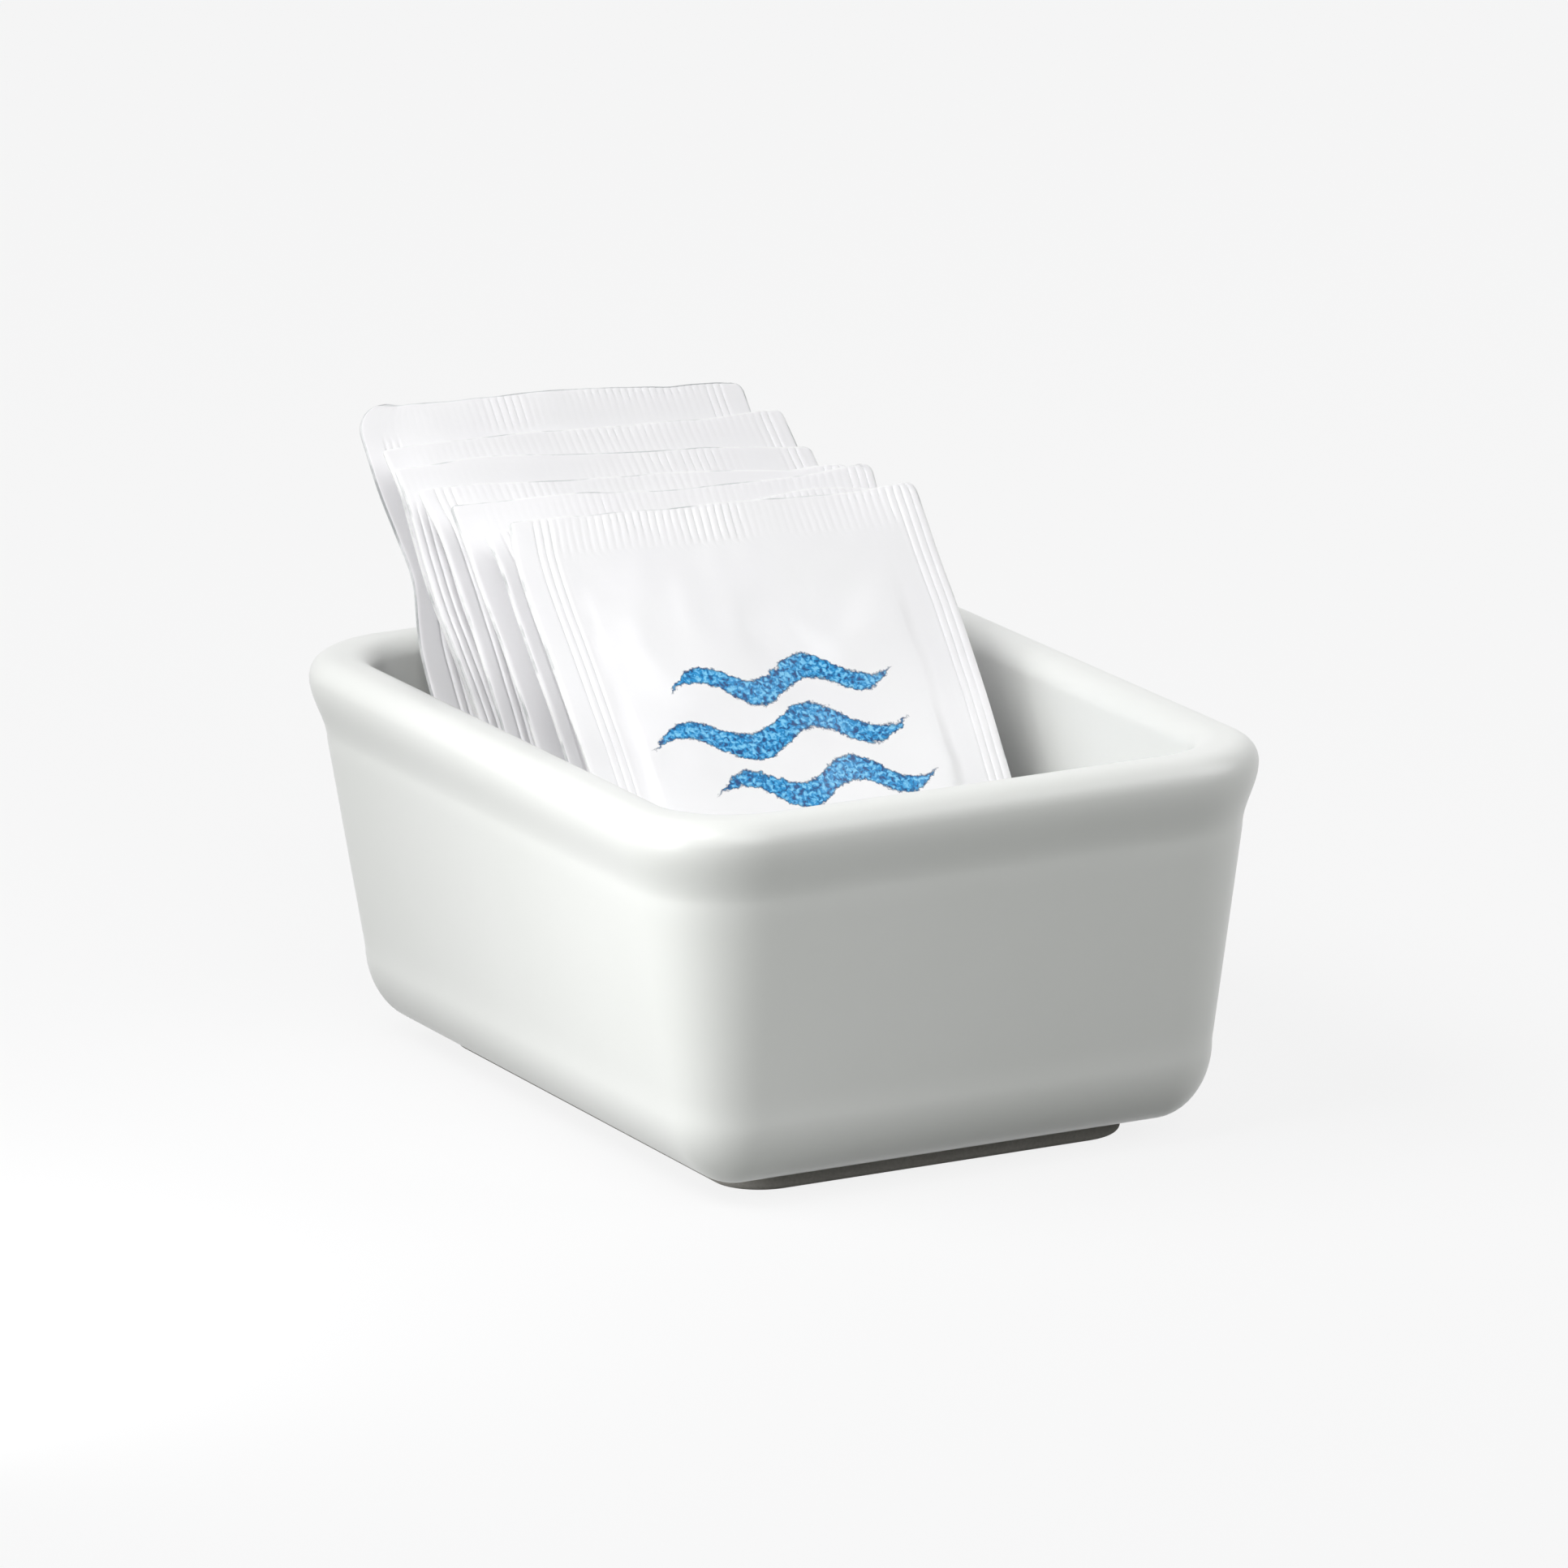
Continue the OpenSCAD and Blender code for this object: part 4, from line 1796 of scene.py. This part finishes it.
@dataclass(frozen=True)
class SunLamp:
    """A large far lamp, wide enough for soft shadows.

    Attributes:
        name: Its name.
        azimuth_deg: Its way round the object, as for the camera.
        elevation_deg: Its height above the table's level.
        strength: Light that falls on a face turned to it, in watts per square metre.
        width_deg: How wide it looks from the object.
        shines: Whether it shows as a highlight in glossy surfaces.
    """

    name: str
    azimuth_deg: float
    elevation_deg: float
    strength: float
    width_deg: float
    shines: bool = True

    def build(self) -> None:
        """Places the lamp."""
        data = bpy.data.lights.new(self.name, "SUN")
        data.energy, data.angle = self.strength, math.radians(self.width_deg)
        lamp = add_object(self.name, data)
        lamp.rotation_mode = "QUATERNION"
        lamp.rotation_quaternion = way_to(self.azimuth_deg, self.elevation_deg).to_track_quat("Z", "Y")
        lamp.visible_glossy = self.shines


@dataclass(frozen=True)
class SoftBox:
    """A square soft box close to the object, whose light falls off along it.

    Attributes:
        name: Its name.
        place: Where it stands, in metres.
        aim: The point that it faces.
        size: Its width and height, in metres.
        power: Its power, in watts.
    """

    name: str
    place: tuple[float, float, float]
    aim: tuple[float, float, float]
    size: float
    power: float

    def build(self) -> None:
        """Places the lamp."""
        data = bpy.data.lights.new(self.name, "AREA")
        data.size, data.energy = self.size, self.power
        lamp = add_object(self.name, data)
        lamp.location = self.place
        lamp.rotation_mode = "QUATERNION"
        lamp.rotation_quaternion = (Vector(self.place) - Vector(self.aim)).to_track_quat("Z", "Y")
        lamp.visible_camera = False


@dataclass(frozen=True)
class Studio:
    """The pale floor, the dome of soft light, the lamps and the camera.

    Attributes:
        background_hex: The background beyond the floor.
        floor_glow_hex: Colour at which the seen floor shows by itself.
        floor_hex: Colour of the seen floor in the lamps' light, which holds the shadow.
        floor_shadow_share: Share of that in the seen floor.
        floor_bounce_hex: Colour of the floor as it lights the object.
        floor_size: Width and length of the floor, in metres.
        floor_roughness: Roughness of the floor.
        dome_top: Strength of the dome overhead.
        dome_side: Strength of the dome at the horizon.
        dome_hex: Colour of the dome's light.
        lamps: The lamps.
    """

    background_hex: str = "#f6f6f6"
    floor_glow_hex: str = "#fafafa"
    floor_hex: str = "#eaeaeb"
    floor_shadow_share: float = 0.12
    floor_bounce_hex: str = "#949694"
    floor_size: float = 8.0
    floor_roughness: float = 0.9
    dome_top: float = 0.09
    dome_side: float = 0.03
    dome_hex: str = "#fbfdff"
    lamps: tuple[SunLamp | SoftBox, ...] = (
        SunLamp("key_lamp", azimuth_deg=-118.0, elevation_deg=46.0, strength=1.4, width_deg=34.0),
        SunLamp("front_lamp", azimuth_deg=-2.0, elevation_deg=38.0, strength=0.67, width_deg=40.0),
        SunLamp("fill_lamp", azimuth_deg=60.0, elevation_deg=34.0, strength=0.78, width_deg=40.0),
        SunLamp(
            "rear_lamp", azimuth_deg=148.0, elevation_deg=14.0, strength=0.85, width_deg=50.0, shines=False,
        ),
        SoftBox("side_box", place=(-0.145, -0.047, 0.04), aim=(-0.03, -0.05, 0.02), size=0.07, power=0.078),
        SoftBox("top_box", place=(-0.20, -0.10, 0.30), aim=(0.0, -0.02, 0.03), size=0.15, power=0.38),
    )

    def _seen(self, tree: Tree) -> Socket:
        """Tells the rays that show the background, which are camera, glossy and transmission rays.

        Args:
            tree: The node tree of the world or the floor.

        Returns:
            1 for those rays, and 0 for the others.
        """
        path = add_node(tree, "ShaderNodeLightPath").outputs
        rays = {kind: path[f"Is {kind} Ray"] for kind in ("Camera", "Glossy", "Transmission")}
        return work_out(tree, rays, {
            "first": ("MAXIMUM", "Camera", "Glossy"),
            "seen": ("MAXIMUM", "first", "Transmission"),
        })

    def _build_world(self) -> None:
        """Makes a dome of soft light, brighter above, which shows as the plain pale background."""
        world = bpy.data.worlds.new("studio_dome")
        bpy.context.scene.world = world
        world.use_nodes = True
        tree = world.node_tree
        tree.nodes.clear()
        way = add_node(tree, "ShaderNodeTexCoord").outputs["Generated"]
        height = add_node(tree, "ShaderNodeSeparateXYZ", links={0: way}).outputs["Z"]
        level = add_node(
            tree, "ShaderNodeMapRange", values={"To Min": self.dome_side, "To Max": self.dome_top},
            links={"Value": height},
        ).outputs["Result"]
        light = add_node(
            tree, "ShaderNodeBackground", values={"Color": linear(self.dome_hex)}, links={"Strength": level},
        )
        pale = add_node(tree, "ShaderNodeBackground", values={"Color": linear(self.background_hex)})
        mixed = add_node(
            tree, "ShaderNodeMixShader",
            links={0: self._seen(tree), 1: light.outputs[0], 2: pale.outputs[0]},
        )
        add_node(tree, "ShaderNodeOutputWorld", links={"Surface": mixed.outputs[0]})

    def _build_floor(self) -> None:
        """Makes the floor, which shows as the pale background with a soft shadow, and bounces less light."""
        material, tree = new_material("matt_studio_floor")
        lit, dark = (
            add_node(
                tree, "ShaderNodeBsdfDiffuse",
                values={"Color": linear(colour), "Roughness": self.floor_roughness},
            )
            for colour in (self.floor_hex, self.floor_bounce_hex)
        )
        plain = add_node(tree, "ShaderNodeEmission", values={"Color": linear(self.floor_glow_hex)})
        shown = add_node(
            tree, "ShaderNodeMixShader", values={0: self.floor_shadow_share},
            links={1: plain.outputs[0], 2: lit.outputs[0]},
        )
        mixed = add_node(
            tree, "ShaderNodeMixShader", links={0: self._seen(tree), 1: dark.outputs[0], 2: shown.outputs[0]},
        )
        add_node(tree, "ShaderNodeOutputMaterial", links={"Surface": mixed.outputs[0]})
        half = self.floor_size / 2
        corners = np.array([(-half, -half, 0), (half, -half, 0), (half, half, 0), (-half, half, 0)])
        add_mesh("floor", corners, [(0, 1, 2, 3)], [material])

    def build(self, middle: Vector) -> None:
        """Builds the studio round the object.

        Args:
            middle: The middle of the dish.
        """
        bpy.context.scene.view_settings.view_transform = "Standard"
        self._build_world()
        self._build_floor()
        for lamp in self.lamps:
            lamp.build()
        Camera().build(middle)


def row_lean() -> float:
    """Angle between the sachets and the vertical, from the way that they lift out."""
    axis = frame["joints"][0]["axis"]
    return math.atan2(axis[1], axis[2])


def report(piece: bpy.types.Object, node: str) -> None:
    """Logs how far a piece's box departs from the box of the node that it stands for.

    Args:
        piece: The piece.
        node: The node's name.
    """
    low, high = (np.array(corner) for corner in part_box(node))
    places = np.array([v.co for v in piece.data.vertices])
    past_box = max(float((low - places.min(0)).max()), float((places.max(0) - high).max()))
    log.info("%s: %d faces, %.2f mm past %s", piece.name, len(piece.data.polygons), past_box / MM, node)


def main() -> None:
    """Builds the dish, the sachets and the studio, and reports each piece."""
    logging.basicConfig(level=logging.INFO, format="%(name)s: %(message)s")
    dish = Dish()
    Studio().build(Vector((0, 0, dish.height / 2)))
    # The foot ring's darker colour is painted shade for the contact shadow.
    report(dish.build(GlazedPorcelain().build(), ShadedBisqueFoot().build()), "dish")
    printed = CoatedPaper("printed_coated_paper", printed=True).build()
    plain = CoatedPaper("plain_coated_paper", printed=False).build()
    # Painted shade: the rear sachet's edges are darker grey for its shaded left outline, the others lighter
    # grey.
    dark_shaded_edge = CutPaperEdge(
        "dark_shaded_edge_cut_edge", edge_hex="#eaebec", outline_shade_hex="#b4b6b8", outline_shade_from=0.4, outline_shade_full=0.56,
    ).build()
    light_shaded_edge = CutPaperEdge("light_shaded_edge_cut_edge").build()
    sugar = GranulatedSugar().build()
    row = Row(dish, SachetSizes(), row_lean())
    for number in range(1, len(row.stands) + 1):
        sachet = Sachet(number, row)
        edge = dark_shaded_edge if number == 1 else light_shaded_edge
        report(sachet.web(Face.FRONT, printed, edge), f"packet_{number}_front_web")
        report(sachet.web(Face.BACK, plain, edge), f"packet_{number}_back_web")
        report(sachet.fill(sugar), f"packet_{number}_sugar")


if __name__ == "__main__":
    main()
